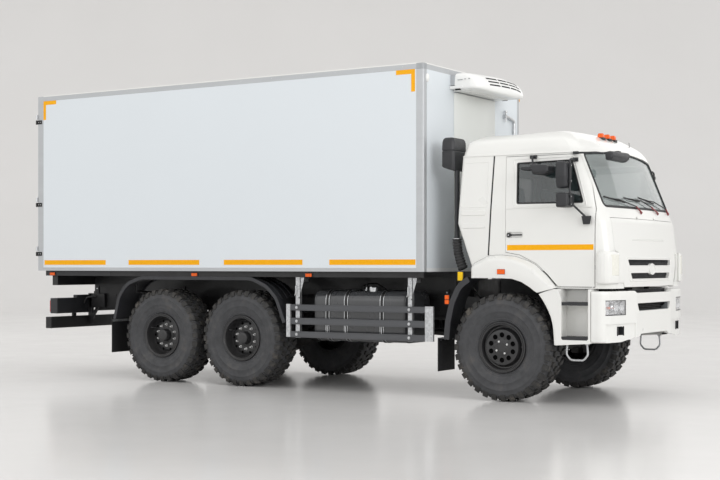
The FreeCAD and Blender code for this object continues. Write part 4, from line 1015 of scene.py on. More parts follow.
def round_poly(pts, r, n=5):
    """A closed outline with its corners rounded."""
    out = []
    k = len(pts)
    for i in range(k):
        a, b, c = Vector(pts[i - 1]), Vector(pts[i]), Vector(pts[(i + 1) % k])
        u, w = a - b, c - b
        lu, lw = u.length, w.length
        u.normalize()
        w.normalize()
        ang = u.angle(w)
        if ang > rad(172):
            out.append(tuple(b))
            continue
        cut = min(r / math.tan(ang / 2), lu * 0.45, lw * 0.45)
        p0, p1 = b + u * cut, b + w * cut
        for j in range(n + 1):
            t = j / n
            out.append(tuple(p0 * (1 - t) ** 2 + b * 2 * t * (1 - t) + p1 * t * t))
    return out


def dense(pts, step):
    out = []
    for a, b in zip(pts, pts[1:] + pts[:1]):
        n = max(1, int(math.hypot(b[0] - a[0], b[1] - a[1]) / step))
        out += [(a[0] + (b[0] - a[0]) * k / n, a[1] + (b[1] - a[1]) * k / n) for k in range(n)]
    return out


def side_plate(b, key, pts, out, depth, s, chamfer=0.0):
    """A plate on the cab's side that follows its slant: pts in x, z; out is how proud it stands."""
    n = len(pts)
    rim = offset(pts, -chamfer) if chamfer else pts
    lay = [[(x, s * (half_width(z) - depth), z) for x, z in pts]]
    if chamfer:
        lay.append([(x, s * (half_width(z) + out - chamfer), z) for x, z in pts])
    lay.append([(x, s * (half_width(z) + out), z) for x, z in rim])
    v = [p for l in lay for p in l]
    f = [tuple(range(n))[::-1], tuple(range((len(lay) - 1) * n, len(lay) * n))]
    for a in range(len(lay) - 1):
        f += [(a * n + j, a * n + (j + 1) % n, (a + 1) * n + (j + 1) % n, (a + 1) * n + j) for j in range(n)]
    b.add(v, f, key)


def loop_strip(b, key, pts, w_in, w_out, lay_fn, out, depth, chamfer=0.002):
    """A frame along a closed outline. lay_fn(p, lift) puts a flat point on the surface, lifted by lift."""
    A, B = offset(pts, w_out), offset(pts, -w_in)
    A2, B2 = offset(pts, w_out - chamfer), offset(pts, -w_in + chamfer)
    rows = [[lay_fn(p, -depth) for p in A], [lay_fn(p, out - chamfer) for p in A], [lay_fn(p, out) for p in A2],
            [lay_fn(p, out) for p in B2], [lay_fn(p, out - chamfer) for p in B], [lay_fn(p, -depth) for p in B]]
    n, k = len(pts), len(rows)
    v = [p for r in rows for p in r]
    f = [(a * n + j, a * n + (j + 1) % n, ((a + 1) % k) * n + (j + 1) % n, ((a + 1) % k) * n + j) for a in range(k) for j in range(n)]
    b.add(v, f, key)


def on_side(s):
    return lambda p, lift: (p[0], s * (half_width(p[1]) + lift), p[1])


def on_front(p, lift):
    return (skin_x(p[0], p[1]) + lift, p[0], p[1])


# outlines, in metres: the doors and their gaps in x, z; the screen and the front panel in y, z
DOOR = [(0.0225, 2.7775), (0.0225, 1.6975), (0.1995, 1.6655), (0.399, 1.569), (0.5385, 1.448), (0.666, 1.311), (1.098, 1.311), (1.098, 2.168), (0.9505, 2.7775)]
GAP = [(0.0185, 2.7825), (0.0185, 1.692), (0.197, 1.6605), (0.395, 1.565), (0.534, 1.444), (0.664, 1.3035), (1.107, 1.3035), (1.107, 2.169), (0.9565, 2.7825)]
WINDOW = round_poly([(0.160, 2.700), (0.160, 2.242), (0.968, 2.238), (0.827, 2.718), (0.180, 2.705)], 0.022, 5)
SCREEN_R = dense(round_poly([(-1.025, 2.200), (1.025, 2.200), (1.022, 2.797), (0.750, 2.822), (0.500, 2.838), (0.250, 2.847), (0, 2.850), (-0.250, 2.847),
                             (-0.500, 2.838), (-0.750, 2.822), (-1.022, 2.797)], 0.055, 7), 0.06)
HOOD = [(-1.000, 2.072), (-1.000, 1.722), (-0.940, 1.690), (-0.800, 1.305), (0.800, 1.305), (0.940, 1.690), (1.000, 1.722), (1.000, 2.072)]
HOLE = [(-1.0045, 2.0765), (-1.0045, 1.719), (-0.945, 1.687), (-0.8065, 1.280), (0.8065, 1.280), (0.945, 1.687), (1.0045, 1.719), (1.0045, 2.0765)]
SEAM = [(-0.140, 2.796), (-0.120, 2.796), (-0.188, 1.660), (-0.208, 1.660)]


def both(maker):
    return [maker(-1), maker(1)]


# ---- shell: skin with doors, windows and the front panel's opening cut
shell = raw(band(CAB, LEVELS, 0, 0.060))
tools = both(lambda s: tool("XZ", GAP, s * 1.30, s * 1.07))
tools += [tool("YZ", SCREEN_R, 0.78, 1.40), tool("YZ", HOLE, 1.12, 1.45), box_tool(-0.70, 0.645, -1.30, 1.30, 1.20, 1.50)]
tools += both(lambda s: tool("YZ", round_poly([(s * 0.30, 2.33), (s * 0.80, 2.33), (s * 0.80, 2.65), (s * 0.30, 2.65)], 0.05), -0.70, -0.40))
tools += both(lambda s: tool("XZ", SEAM, s * 1.30, s * 1.116))
tools += both(lambda s: box_tool(1.15, 1.30, s * 0.254, s * 0.2805, 2.068, 2.098))
carve(shell, tools)
settle(shell, "cab_skin", "cab", bevel=0.0022)
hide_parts("cab_shell")

b = Build()
# floor, firewall, tilt arms, door pins and the front panel's lugs
plan = [(x, y) for x, y in ring_pts(row_at(CAB, 1.525), 0.012) if x <= 1.118]
front = [p for p in plan if p[0] > 1.10]
b.prism("interior", "XY", plan, 1.500, 1.550)
b.box("interior", 1.086, 1.100, -1.13, 1.13, 1.50, 2.12)
n0 = len(b.v)
b.prism("chassis", "XZ", [(1.055, 1.072), (1.280, 1.072), (1.280, 1.128), (1.115, 1.128), (1.115, 1.505), (1.055, 1.505)], -0.51, -0.47)
b.lathe("chassis", [(0.0142, 0), (0.028, 0), (0.028, 0.040), (0.0142, 0.040)], (1.280, -0.51, 1.100), "y", 32)
b.lathe("steel", [(0.0005, 0), (0.008, 0), (0.008, 0.052), (0.0005, 0.052)], (1.070, -1.148, 1.292), "z", 20, closed=False)
b.lathe("cab", [(0.0005, 0), (0.008, 0), (0.008, 0.020), (0.0005, 0.020)], (1.260, -0.301, 2.085), "y", 20, closed=False)
b.box("cab", 1.205, 1.260, -0.301, -0.281, 2.085, 2.093)
b.mirror(n0)
b.done("cab_floor_and_arms", "cab", "interior_plastic", bevel=0.002)

# ---- dark strip in the groove behind each door, pressed ribs and panel outline
b = Build()
side_plate(b, "rubber", dense([(-0.1395, 2.795), (-0.1205, 2.795), (-0.1885, 1.662), (-0.2075, 1.662)], 0.12), -0.005, 0.020, -1)
b.mirror()
b.done("cab_side_seams", "cab", "black_plastic", angle=30)

b = Build()
PANEL = round_poly([(-0.190, 2.735), (-0.515, 2.735), (-0.555, 2.215), (-0.215, 2.215)], 0.03)
loop_strip(b, "cab", dense(PANEL, 0.12), 0.010, 0.004, on_side(-1), 0.0035, 0.006, 0.0025)
for z0, z1 in ((2.118, 2.182), (1.972, 2.036)):
    xr0 = row_at(CAB, z0)[1]
    xr1 = row_at(CAB, z1)[1]
    rib = round_poly([(xr1 + 0.045, z1), (xr0 + 0.045, z0), (-0.235, z0), (-0.230, z1)], 0.024)
    side_plate(b, "cab", rib, 0.0075, 0.006, -1, 0.006)
b.mirror()
b.done("cab_side_pressings", "cab", "cab_paint", bevel=0.0025, seg=3, angle=25)

# drip rail along the roof's foot
b = Build()
run = [p for p in ring_pts(row_at(CAB, 2.80), 0.0) if True]
n = len(run)
rail = []
for k, (x, y) in enumerate(run):
    if y < -0.0 and (x < 0.86 or True) and abs(y) > 1.05:
        rail.append((x, y))
prof = [(0.0, 2.798), (-0.009, 2.799), (-0.010, 2.806), (-0.006, 2.812), (0.004, 2.813)]
v, f = [], []
for x, y in rail:
    for d, z in prof:
        nx, ny = (0.0, -1.0) if x < 0.79 else (0.55, -0.83)
        v.append((x - nx * d, y - ny * d, z))
m = len(prof)
for a in range(len(rail) - 1):
    f += [(a * m + j, a * m + (j + 1) % m, (a + 1) * m + (j + 1) % m, (a + 1) * m + j) for j in range(m)]
f += [tuple(range(m))[::-1], tuple(range((len(rail) - 1) * m, len(rail) * m))]
b.add(v, f, "cab")
b.mirror()
b.done("cab_drip_rail", "cab", "cab_paint", angle=30)

# ---- roof
levels = [2.800, 2.815, 2.835, 2.86, 2.885, 2.91, 2.935, 2.96, 2.985, 3.003, 3.018, 3.031, 3.041, 3.049, 3.055]
b = Build()
rings = [[(x, y, z) for x, y in ring_pts(smooth_row(ROOF, z), 0.0, 0.06)] for z in levels]
cx, cy = 0.30, 0.0
last = rings[-1]
for t, z in ((0.93, 3.0590), (0.82, 3.0630), (0.64, 3.0668), (0.42, 3.0690), (0.20, 3.0700)):
    rings.append([(cx + (x - cx) * t, cy + (y - cy) * t, z) for x, y, _ in last])
ease = lambda t: max(0.0, min(1.0, t)) ** 2 * (3 - 2 * max(0.0, min(1.0, t)))
rings = [[(x, y, z + 0.020 * ease((x - 0.02) / 0.40) * ease((z - 2.99) / 0.055) * ease((1.15 - abs(y)) / 0.5)) for x, y, z in r] for r in rings]
inner = [[(x, y, z) for x, y in ring_pts(smooth_row(ROOF, z), 0.045, 0.06)] for z in (2.800, 2.86, 2.93, 2.97, 3.00)]
n = len(last)
v = [p for r in rings for p in r]
f = [(a * n + j, a * n + (j + 1) % n, (a + 1) * n + (j + 1) % n, (a + 1) * n + j) for a in range(len(rings) - 1) for j in range(n)]
f.append(tuple(range((len(rings) - 1) * n, len(rings) * n)))
h = len(v)
v += [p for r in inner for p in r]
f2 = [(h + a * n + (j + 1) % n, h + a * n + j, h + (a + 1) * n + j, h + (a + 1) * n + (j + 1) % n) for a in range(len(inner) - 1) for j in range(n)]
f2.append(tuple(range(h + (len(inner) - 1) * n, h + len(inner) * n))[::-1])
f3 = [((j + 1) % n, j, h + j, h + (j + 1) % n) for j in range(n)]
b.add(v, f + f3, "cab")
b.f += f2
b.m += [b.mat("lining")] * len(f2)
roof = raw(b)
carve(roof, [tool("YZ", SCREEN_R, 0.70, 1.40)])
settle(roof, "cab_roof_panel", "cab", bevel=0.002)
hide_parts("cab_roof")


def roof_z(x, y):
    """The roof's height over a point, found between its rings."""
    z = 3.07
    for lo_r, hi_r in zip(rings, rings[1:]):
        def inside(r):
            c = False
            for (x0, y0, _), (x1, y1, _) in zip(r, r[1:] + r[:1]):
                if (y0 > y) != (y1 > y) and x < (x1 - x0) * (y - y0) / (y1 - y0) + x0:
                    c = not c
            return c
        if not inside(hi_r):
            # a point between the two rings: share by distance to each
            d0 = min(math.hypot(p[0] - x, p[1] - y) for p in lo_r)
            d1 = min(math.hypot(p[0] - x, p[1] - y) for p in hi_r)
            return lo_r[0][2] + (hi_r[0][2] - lo_r[0][2]) * d0 / (d0 + d1)
    return z


# ---- glass: screen and rear panes, with their seals
levels = [2.190, 2.202, 2.22, 2.28, 2.36, 2.45, 2.54, 2.63, 2.72, 2.800, 2.82, 2.84, 2.86]
rows = [CAB[3], CAB[4], ROOF[1]]
g = raw(band(rows, levels, 0.010, 0.016, "screen", "screen"))
carve(g, [tool("YZ", offset(SCREEN_R, -0.002), 0.70, 1.40, "screen")], "INTERSECT")
settle(g, "windshield", "cab")
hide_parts("cab_glass")
g = raw(band(CAB, [2.19, 2.28, 2.5, 2.80], 0.022, 0.028, "glass", "glass"))
t = Build()
for s in (-1, 1):
    t.prism("glass", "YZ", round_poly([(s * 0.302, 2.332), (s * 0.798, 2.332), (s * 0.798, 2.648), (s * 0.302, 2.648)], 0.048), -0.70, -0.40)
carve(g, [raw(t)], "INTERSECT")
settle(g, "rear_panes", "cab")

b = Build()
loop_strip(b, "rubber", SCREEN_R, 0.016, 0.011, on_front, 0.005, 0.028, 0.003)
b.done("windshield_seal", "cab", "black_plastic", angle=50)
b = Build()
for s in (-1, 1):
    pane = round_poly([(s * 0.30, 2.33), (s * 0.80, 2.33), (s * 0.80, 2.65), (s * 0.30, 2.65)], 0.05)
    loop_strip(b, "rubber", pane, 0.012, 0.010, lambda p, lift: (row_at(CAB, p[1])[1] - lift, p[0], p[1]), 0.004, 0.03, 0.003)
b.done("rear_pane_seals", "cab", "black_plastic", angle=50)


# ---- doors
def cab_door(side, s):
    leaf = raw(band(CAB, LEVELS, 0, 0.060, "cab", "interior"))
    carve(leaf, [tool("XZ", DOOR, s * 1.30, s * 1.075)], "INTERSECT")
    cuts = [tool("XZ", WINDOW, s * 1.30, s * 1.05)]
    hole = Build()
    hole.lathe("cab", [(0.0005, 0), (0.0082, 0), (0.0082, 0.06), (0.0005, 0.06)], (1.070, s * 1.148, 1.295), "z", 20, closed=False)
    cuts.append(raw(hole))
    cup = round_poly([(0.034, 1.858), (0.236, 1.858), (0.236, 1.922), (0.034, 1.922)], 0.024)
    cuts.append(tool("XZ", cup, s * 1.30, s * 1.146))
    carve(leaf, cuts)
    body = "cab_door_" + side
    settle(leaf, "cab_door_leaf_" + side, body, bevel=0.0022)
    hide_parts("door_" + side)
    g = raw(band(CAB, [2.19, 2.202, 2.28, 2.4, 2.55, 2.70, 2.80], 0.012, 0.017, "glass", "glass"))
    carve(g, [tool("XZ", offset(WINDOW, -0.002), s * 1.30, s * 1.05, "glass")], "INTERSECT")
    settle(g, "cab_door_glass_" + side, body)
    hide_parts("door_glass_" + side)
    b = Build()
    loop_strip(b, "rubber", dense(WINDOW, 0.2), 0.013, 0.004, on_side(s), 0.003, 0.034, 0.002)
    b.box("rubber", 0.205, 0.925, s * 1.098, s * 1.104, 2.225, 2.262)
    b.done("cab_door_seal_" + side, body, "black_plastic", angle=50)
    b = Build()
    # raised window surround and the crease under it
    OUT = round_poly([(0.118, 2.742), (0.118, 2.205), (1.010, 2.200), (0.850, 2.757), (0.160, 2.750)], 0.03)
    loop_strip(b, "cab", dense(OUT, 0.2), 0.009, 0.005, on_side(s), 0.0045, 0.006, 0.0035)
    crease = [(0.030, 2.184), (1.075, 2.184), (1.073, 2.1925), (0.030, 2.1925)]
    side_plate(b, "cab", crease, 0.005, 0.005, s, 0.0035)
    low = [(0.030, 1.664), (0.215, 1.632)]
    b.done("cab_door_pressings_" + side, body, "cab_paint", angle=40)
    b = Build()  # handle in its cup, with a round lock
    cupf = [(x, z) for x, z in offset(cup, -0.0015)]
    b.prism("cab", "XZ", cupf, s * 1.148, s * 1.1472)
    b.lathe("plastic", [(0.0005, -0.02), (0.024, -0.02), (0.024, 0.014), (0.019, 0.019), (0.0005, 0.020)], (0.063, s * 1.157, 1.890), "y", 28, s, closed=False)
    b.lathe("steel", [(0.0005, 0.0), (0.0075, 0.0), (0.0075, 0.002), (0.0005, 0.002)], (0.063, s * 1.177, 1.890), "y", 16, s, closed=False)
    lever = [(0.075, s * 1.152), (0.105, s * 1.168), (0.150, s * 1.178), (0.205, s * 1.180), (0.226, s * 1.175), (0.228, s * 1.166), (0.205, s * 1.166), (0.150, s * 1.164), (0.105, s * 1.152)]
    b.prism("plastic", "XY", lever, 1.883, 1.899)
    b.done("cab_door_handle_" + side, body, "black_plastic", bevel=0.003)
    b = Build()  # broad reflective stripe
    side_plate(b, "tape", [(0.040, 1.717), (1.086, 1.717), (1.086, 1.778), (0.040, 1.778)], 0.0008, 0.001, s)
    b.done("cab_door_stripe_" + side, body, "cab_paint", angle=30)
    b = Build()  # inner card, arm rest, winder and pull
    b.prism("interior", "XZ", [(0.07, 2.19), (0.07, 1.72), (0.22, 1.69), (0.42, 1.60), (0.55, 1.48), (0.64, 1.38), (0.99, 1.36), (0.99, 2.19)], s * 1.0995, s * 1.093)
    b.box("interior", 0.20, 0.72, s * 1.094, s * 1.055, 1.93, 1.975)
    b.box("interior", 0.16, 0.86, s * 1.094, s * 1.075, 1.62, 1.76)
    b.tube("plastic", round_path([(0.30, s * 1.092, 1.84), (0.30, s * 1.06, 1.845), (0.52, s * 1.06, 1.845), (0.52, s * 1.092, 1.84)], 0.02), 0.009, 10)
    b.lathe("plastic", [(0.0005, 0), (0.022, 0), (0.018, 0.014), (0.0005, 0.016)], (0.62, s * 1.094, 1.85), "y", 20, -s, closed=False)
    b.tube("plastic", [(0.62, s * 1.080, 1.85), (0.68, s * 1.074, 1.80)], 0.007, 8)
    b.done("cab_door_card_" + side, body, "interior_plastic", bevel=0.004)


cab_door("right", -1)
cab_door("left", 1)

# ---- lift-up front panel with the two grille slots
# the panel's inner face is near-black: painted shade behind the slots
hood = raw(band(CAB, LEVELS, 0, 0.045, "cab", "dark"))
carve(hood, [tool("YZ", HOOD, 1.10, 1.45)], "INTERSECT")
UP = round_poly([(-0.665, 1.546), (0.665, 1.546), (0.690, 1.610), (-0.690, 1.610)], 0.010, 3)
DN = round_poly([(-0.595, 1.396), (0.595, 1.396), (0.635, 1.460), (-0.635, 1.460)], 0.010, 3)
carve(hood, [tool("YZ", UP, 1.15, 1.45), tool("YZ", DN, 1.15, 1.45)])
settle(hood, "front_panel_skin", "hood_panel", bevel=0.0028, seg=3)
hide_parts("front_hood_panel")
b = Build()
for sl in (UP, DN):  # folded lip round each slot
    loop_strip(b, "cab", dense(sl, 0.15), 0.000, 0.012, on_front, 0.0035, 0.006, 0.003)
FRAME = round_poly([(-0.655, 1.372), (0.655, 1.372), (0.735, 1.634), (-0.735, 1.634)], 0.03)
loop_strip(b, "cab", dense(FRAME, 0.08), 0.006, 0.006, on_front, 0.004, 0.006, 0.004)
RIDGE = round_poly([(-0.52, 1.832), (0.52, 1.832), (0.50, 1.848), (-0.50, 1.848)], 0.006)
loop_strip(b, "cab", dense(RIDGE, 0.08), 0.005, 0.004, on_front, 0.004, 0.006, 0.003)
b.done("front_panel_pressings", "hood_panel", "cab_paint", angle=50)
b = Build()
for (za, zb, ya) in ((1.548, 1.608, 0.68), (1.398, 1.458, 0.615)):  # mesh and bars inside each slot
    xg = 1.262
    # near-black sheet behind the mesh: painted shade inside the slot
    b.box("dark", xg - 0.012, xg - 0.010, -ya, ya, za - 0.02, zb + 0.02)
    for k in range(5):
        z = za + 0.006 + (zb - za - 0.012) * k / 4
        pts = [(skin_x(y, z) - 0.030, y, z) for y in [-ya + 2 * ya * i / 24 for i in range(25)]]
        b.tube("plastic", pts, 0.0032, 6)
    k = int(2 * ya / 0.03)
    for i in range(k + 1):
        y = -ya + 2 * ya * i / k
        x = skin_x(y, za) - 0.033
        b.box("plastic", x - 0.003, x + 0.003, y - 0.0025, y + 0.0025, za - 0.004, zb + 0.004)
b.done("grille_mesh", "hood_panel", "black_plastic", angle=40)
b = Build()
oval = [(0.100 * math.cos(2 * math.pi * k / 40) * 1.0, 1.5035 + 0.066 * math.sin(2 * math.pi * k / 40)) for k in range(40)]
for sc, d0, d1 in ((1.0, 0.012, 0.006),):
    loop_strip(b, "cab", oval, 0.016, 0.0, on_front, 0.012, 0.02, 0.004)
inner_o = [(y * 0.86, 1.5035 + (z - 1.5035) * 0.80) for y, z in oval]
v = [on_front(p, 0.006) for p in inner_o] + [on_front(p, -0.018) for p in inner_o]
n = len(inner_o)
b.add(v, [tuple(range(n)), tuple(range(n, 2 * n))[::-1]] + [(j, n + j, n + (j + 1) % n, (j + 1) % n) for j in range(n)], "cab")
b.done("front_oval", "hood_panel", "cab_paint", angle=40)
b = Build()
for s in (-1, 1):
    b.lathe("cab", [(0.0005, 0), (0.008, 0), (0.008, 0.020), (0.0005, 0.020)], (1.260, s * 0.260 if s > 0 else -0.280, 2.085), "y", 20, closed=False)
    b.box("cab", 1.225, 1.260, s * 0.2605, s * 0.2795, 2.058, 2.085)
    b.box("cab", 1.10 + 0.07, 1.222, s * 0.55, s * 0.57, 1.32, 2.06)
b.done("front_panel_hinges", "hood_panel", "cab_paint", angle=40)

# ---- corner housings and signal lamps
PLAN = [(1.114, 1.150), (1.130, 1.192), (1.160, 1.208), (1.200, 1.215), (1.240, 1.208), (1.273, 1.187), (1.296, 1.155), (1.311, 1.110), (1.321, 1.040),
        (1.325, 0.960), (1.324, 0.820), (1.200, 0.790), (1.150, 1.050)]
for side, s in (("right", -1), ("left", 1)):
    b = Build()
    base = round_poly(PLAN[:10], 0.02, 3) + PLAN[10:]
    rings = []
    for z, d in ((1.345, 0.020), (1.350, 0.009), (1.360, 0.003), (1.372, 0.0), (1.45, 0.0), (1.55, 0.0), (1.64, 0.001), (1.665, 0.004), (1.683, 0.011), (1.694, 0.022), (1.700, 0.036)):
        pts = offset(base, -d) if d else base
        rings.append([(x, s * y, z) for x, y in pts])
    n = len(rings[0])
    v = [p for r in rings for p in r]
    f = [(a * n + j, a * n + (j + 1) % n, (a + 1) * n + (j + 1) % n, (a + 1) * n + j) for a in range(len(rings) - 1) for j in range(n)]
    f += [tuple(range(n))[::-1], tuple(range((len(rings) - 1) * n, len(rings) * n))]
    b.add(v, f, "cab")
    o = raw(b)
    carve(o, [tool("YZ", HOLE, 1.10, 1.45)])
    settle(o, "corner_housing_" + side, "cab", angle=40)
    if side == "right":
        first = o
    else:
        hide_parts("corner_housings")
    b = Build()
    lens = [(1.2850, 1.166), (1.3010, 1.146), (1.3140, 1.110), (1.3205, 1.075), (1.3250, 1.040), (1.3268, 1.015), (1.29, 1.015), (1.26, 1.13)]
    b.prism("cream", "XY", [(x, s * y) for x, y in lens], 1.435, 1.665)
    b.done("signal_lamp_" + side, "cab", "lamp_lens", bevel=0.006, seg=3)
    b = Build()
    for k in range(3):
        z = 1.495 + 0.07 * k
        b.lathe("steel", [(0.0005, 0.0), (0.010, 0.004), (0.022, 0.014), (0.024, 0.014), (0.024, 0.0)], (1.288, s * 1.075, z), "x", 20, closed=False)
    b.done("signal_bowls_" + side, "cab", "steel", angle=40)

# ------------------------------------------------------------------ more finishes
M["chrome"] = finish_mat("lamp_chrome", (0.78, 0.79, 0.80), 0.12, metal=1.0, var=0.04, scale=40, rvar=0.04)
M["bulb"] = window_glass("bulb_glass", (0.9, 0.9, 0.88), 0.5)


def line2(pts, r, n=6):
    return [(p.x, p.y) for p in round_path([Vector(p) for p in pts], r, n)]


# ------------------------------------------------------------------ bumper
def bumper_line(g, r=0.10):
    o, f = 1.250 - g, 1.360 - g
    return line2([(1.095, -o), (1.200, -o), (1.275 - g * 0.6, 0.080 - o), (1.318 - g, -0.945), (f, -0.560), (f, 0.560),
                  (1.318 - g, 0.945), (1.275 - g * 0.6, o - 0.080), (1.200, o), (1.095, o)], r, 7)


def bumper_x(y, g=0.0):
    run = bumper_line(g)
    for (xa, ya), (xb, yb) in zip(run, run[1:]):
        if ya <= y <= yb and yb > ya:
            return xa + (xb - xa) * (y - ya) / (yb - ya)
    return 1.36 - g


b = Build()
rings = []
for z, g in ((0.700, 0.020), (0.7035, 0.010), (0.710, 0.003), (0.718, 0.0), (0.80, 0.0), (0.90, 0.0), (1.00, 0.0), (1.10, 0.0), (1.18, 0.0), (1.232, 0.0),
             (1.246, 0.0015), (1.2545, 0.005), (1.2600, 0.0105), (1.262, 0.018)):
    rings.append([(x, y, z) for x, y in bumper_line(g)])
n = len(rings[0])
v = [p for r in rings for p in r]
f = [(a * n + j, a * n + (j + 1) % n, (a + 1) * n + (j + 1) % n, (a + 1) * n + j) for a in range(len(rings) - 1) for j in range(n)]
f += [tuple(range(n))[::-1], tuple(range((len(rings) - 1) * n, len(rings) * n))]
b.add(v, f, "cab")
o = raw(b)
inner = [(1.085, -1.205)] + bumper_line(0.045)[1:-1] + [(1.085, 1.205)]
SLOT = round_poly([(-0.545, 1.120), (-0.490, 1.033), (0.490, 1.033), (0.545, 1.120)], 0.012, 3)
tools = [tool("XY", inner, 0.69, 1.222), tool("YZ", SLOT, 1.25, 1.42),
         tool("YZ", [(-0.600, 1.30), (-0.600, 1.263), (-0.560, 1.236), (0.560, 1.236), (0.600, 1.263), (0.600, 1.30)], 1.15, 1.45), box_tool(1.08, 1.29, -0.6, 0.6, 1.20, 1.29),
         tool("YZ", [(-1.000, 0.690), (-0.560, 0.742), (-0.470, 0.747), (-0.420, 0.775), (0.420, 0.775), (0.470, 0.747), (0.560, 0.742), (1.000, 0.690)], 1.09, 1.42)]
for s in (-1, 1):
    tools.append(tool("XY", [(1.200, s * 0.825), (1.40, s * 0.825), (1.40, s * 1.259), (1.30, s * 1.259), (1.200, s * 1.166)], 0.997, 1.164))
    tools.append(box_tool(1.20, 1.42, s * 0.866, s * 0.994, 0.778, 0.868))
    cutl = [(x, y) for x, y in bumper_line(0.009) if 0.59 < s * y < 1.19]
    outl = [(x, y) for x, y in bumper_line(-0.02) if 0.57 < s * y < 1.22]
    cutl = [(bumper_x(s * y, 0.015), s * y) for y in [0.590 + 0.6 * k / 14 for k in range(15)]]
    outl = [(bumper_x(s * y) + 0.03, s * y) for y in [0.572 + 0.65 * k / 14 for k in range(15)]]
    tools.append(tool("XY", cutl + outl[::-1], 0.60, 0.902))
carve(o, tools)
settle(o, "bumper_skin", "chassis", bevel=0.0035, seg=3, angle=34)
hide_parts("front_bumper")

b = Build()
# near-black back of the centre slot: painted shade in the recess
b.prism("dark", "YZ", offset(SLOT, 0.004), 1.262, 1.266)
n0 = len(b.v)
for s in (-1, 1):  # dark side walls and lips of the centre slot
    b.box("interior", 1.266, 1.345, s * 0.488, s * 0.500, 1.035, 1.118)
b.box("interior", 1.266, 1.350, -0.495, 0.495, 1.032, 1.037)
b.box("plastic", 1.266, 1.350, -0.540, 0.540, 1.116, 1.121)
for k in range(4):
    b.box("plastic", 1.268, 1.285, -0.49, 0.49, 1.047 + 0.02 * k, 1.052 + 0.02 * k)
# air mesh standing in the bumper's top edge
for k in range(4):
    z = 1.230 + 0.013 * k
    b.box("plastic", 1.262, 1.270, -0.592, 0.592, z, z + 0.005)
for k in range(61):
    y = -0.59 + 1.18 * k / 60
    b.box("plastic", 1.260, 1.268, y - 0.0022, y + 0.0022, 1.210, 1.274)
# near-black sheet behind the air mesh: painted shade
b.box("dark", 1.248, 1.252, -0.595, 0.595, 1.206, 1.272)
for s in (-1, 1):  # hook pockets
    b.box("mudguard", 1.235, 1.262, s * 0.85, s * 1.01, 0.765, 0.880)
    b.box("plastic", 1.24, 1.325, s * 0.862, s * 0.868, 0.772, 0.874)
    b.box("plastic", 1.24, 1.305, s * 0.992, s * 0.998, 0.772, 0.874)
    b.box("plastic", 1.24, 1.31, s * 0.862, s * 0.998, 0.868, 0.874)
    b.tube("cast", [(1.275, s * 0.93, 0.775), (1.275, s * 0.93, 0.87)], 0.013, 12)
    b.box("chassis", 1.101, 1.245, s * 0.400, s * 0.340, 0.94, 0.99)
b.done("bumper_inserts", "chassis", "black_plastic", bevel=0.0012, seg=1)

for side, s in (("right", -1), ("left", 1)):
    def wrap(g, lo_y, hi_y=1.30, xmin=1.222):
        return [(x, y) for x, y in ([(bumper_x(s * lo_y, g), s * lo_y)] + [p for p in (bumper_line(g) if s > 0 else bumper_line(g)[::-1]) if lo_y + 0.004 < s * p[1] < hi_y and p[0] > xmin])]
    b = Build()
    outer, inn = wrap(0.0025, 0.832), wrap(0.007, 0.832)
    b.prism("lens", "XY", outer + inn[::-1], 1.004, 1.157)
    lens = b.done("headlamp_cover_" + side, "chassis", "lamp_lens", angle=50)
    b = Build()  # reflector pan, rim, bowls, bulbs
    back = [(x, y) for x, y in wrap(0.085, 0.836, 1.22, 1.16)]
    mid = wrap(0.060, 0.834, 1.24, 1.18)
    b.prism("chrome", "XY", mid + back[::-1], 1.002, 1.159)
    rimo, rimi = wrap(0.001, 0.827), wrap(0.012, 0.827)
    for z0, z1 in ((0.9985, 1.0055), (1.1555, 1.1625)):
        b.prism("plastic", "XY", rimo + rimi[::-1], z0, z1)
    b.box("plastic", bumper_x(s * 0.83) - 0.012, bumper_x(s * 0.83) - 0.001, s * 0.8265, s * 0.8335, 0.999, 1.162)
    for y, r in ((0.897, 0.058), (1.020, 0.058)):
        x = bumper_x(s * y) - 0.012
        b.lathe("chrome", [(0.014, -0.058), (0.026, -0.055), (0.040, -0.042), (0.052, -0.020), (r, 0.0), (r + 0.004, 0.0), (r + 0.004, -0.010), (0.055, -0.030), (0.030, -0.060)],
                (x, s * y, 1.080), "x", 36, closed=True)
        b.ball("bulb", (x - 0.030, s * y, 1.080), 0.013, 14, 1.5, 1, 1)
        b.lathe("plastic", [(0.0005, -0.062), (0.016, -0.062), (0.016, -0.052), (0.0005, -0.052)], (x, s * y, 1.080), "x", 16, closed=False)
        for k in range(8):  # facets between the bowls
            t = 2 * math.pi * k / 8
            b.box("chrome", x - 0.03, x - 0.028, s * y + 0.064 * math.cos(t) - 0.004, s * y + 0.064 * math.cos(t) + 0.004, 1.080 + 0.064 * math.sin(t) - 0.004, 1.080 + 0.064 * math.sin(t) + 0.004)
    b.lathe("orange", [(0.0005, 0.0), (0.016, 0.0), (0.016, -0.02), (0.0005, -0.02)], (bumper_x(s * 1.12) - 0.03, s * 1.115, 1.080), "x", 20, closed=False)
    pan = b.done("headlamp_bowls_" + side, "chassis", "steel", angle=40)
    if side == "left":
        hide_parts("headlamps")

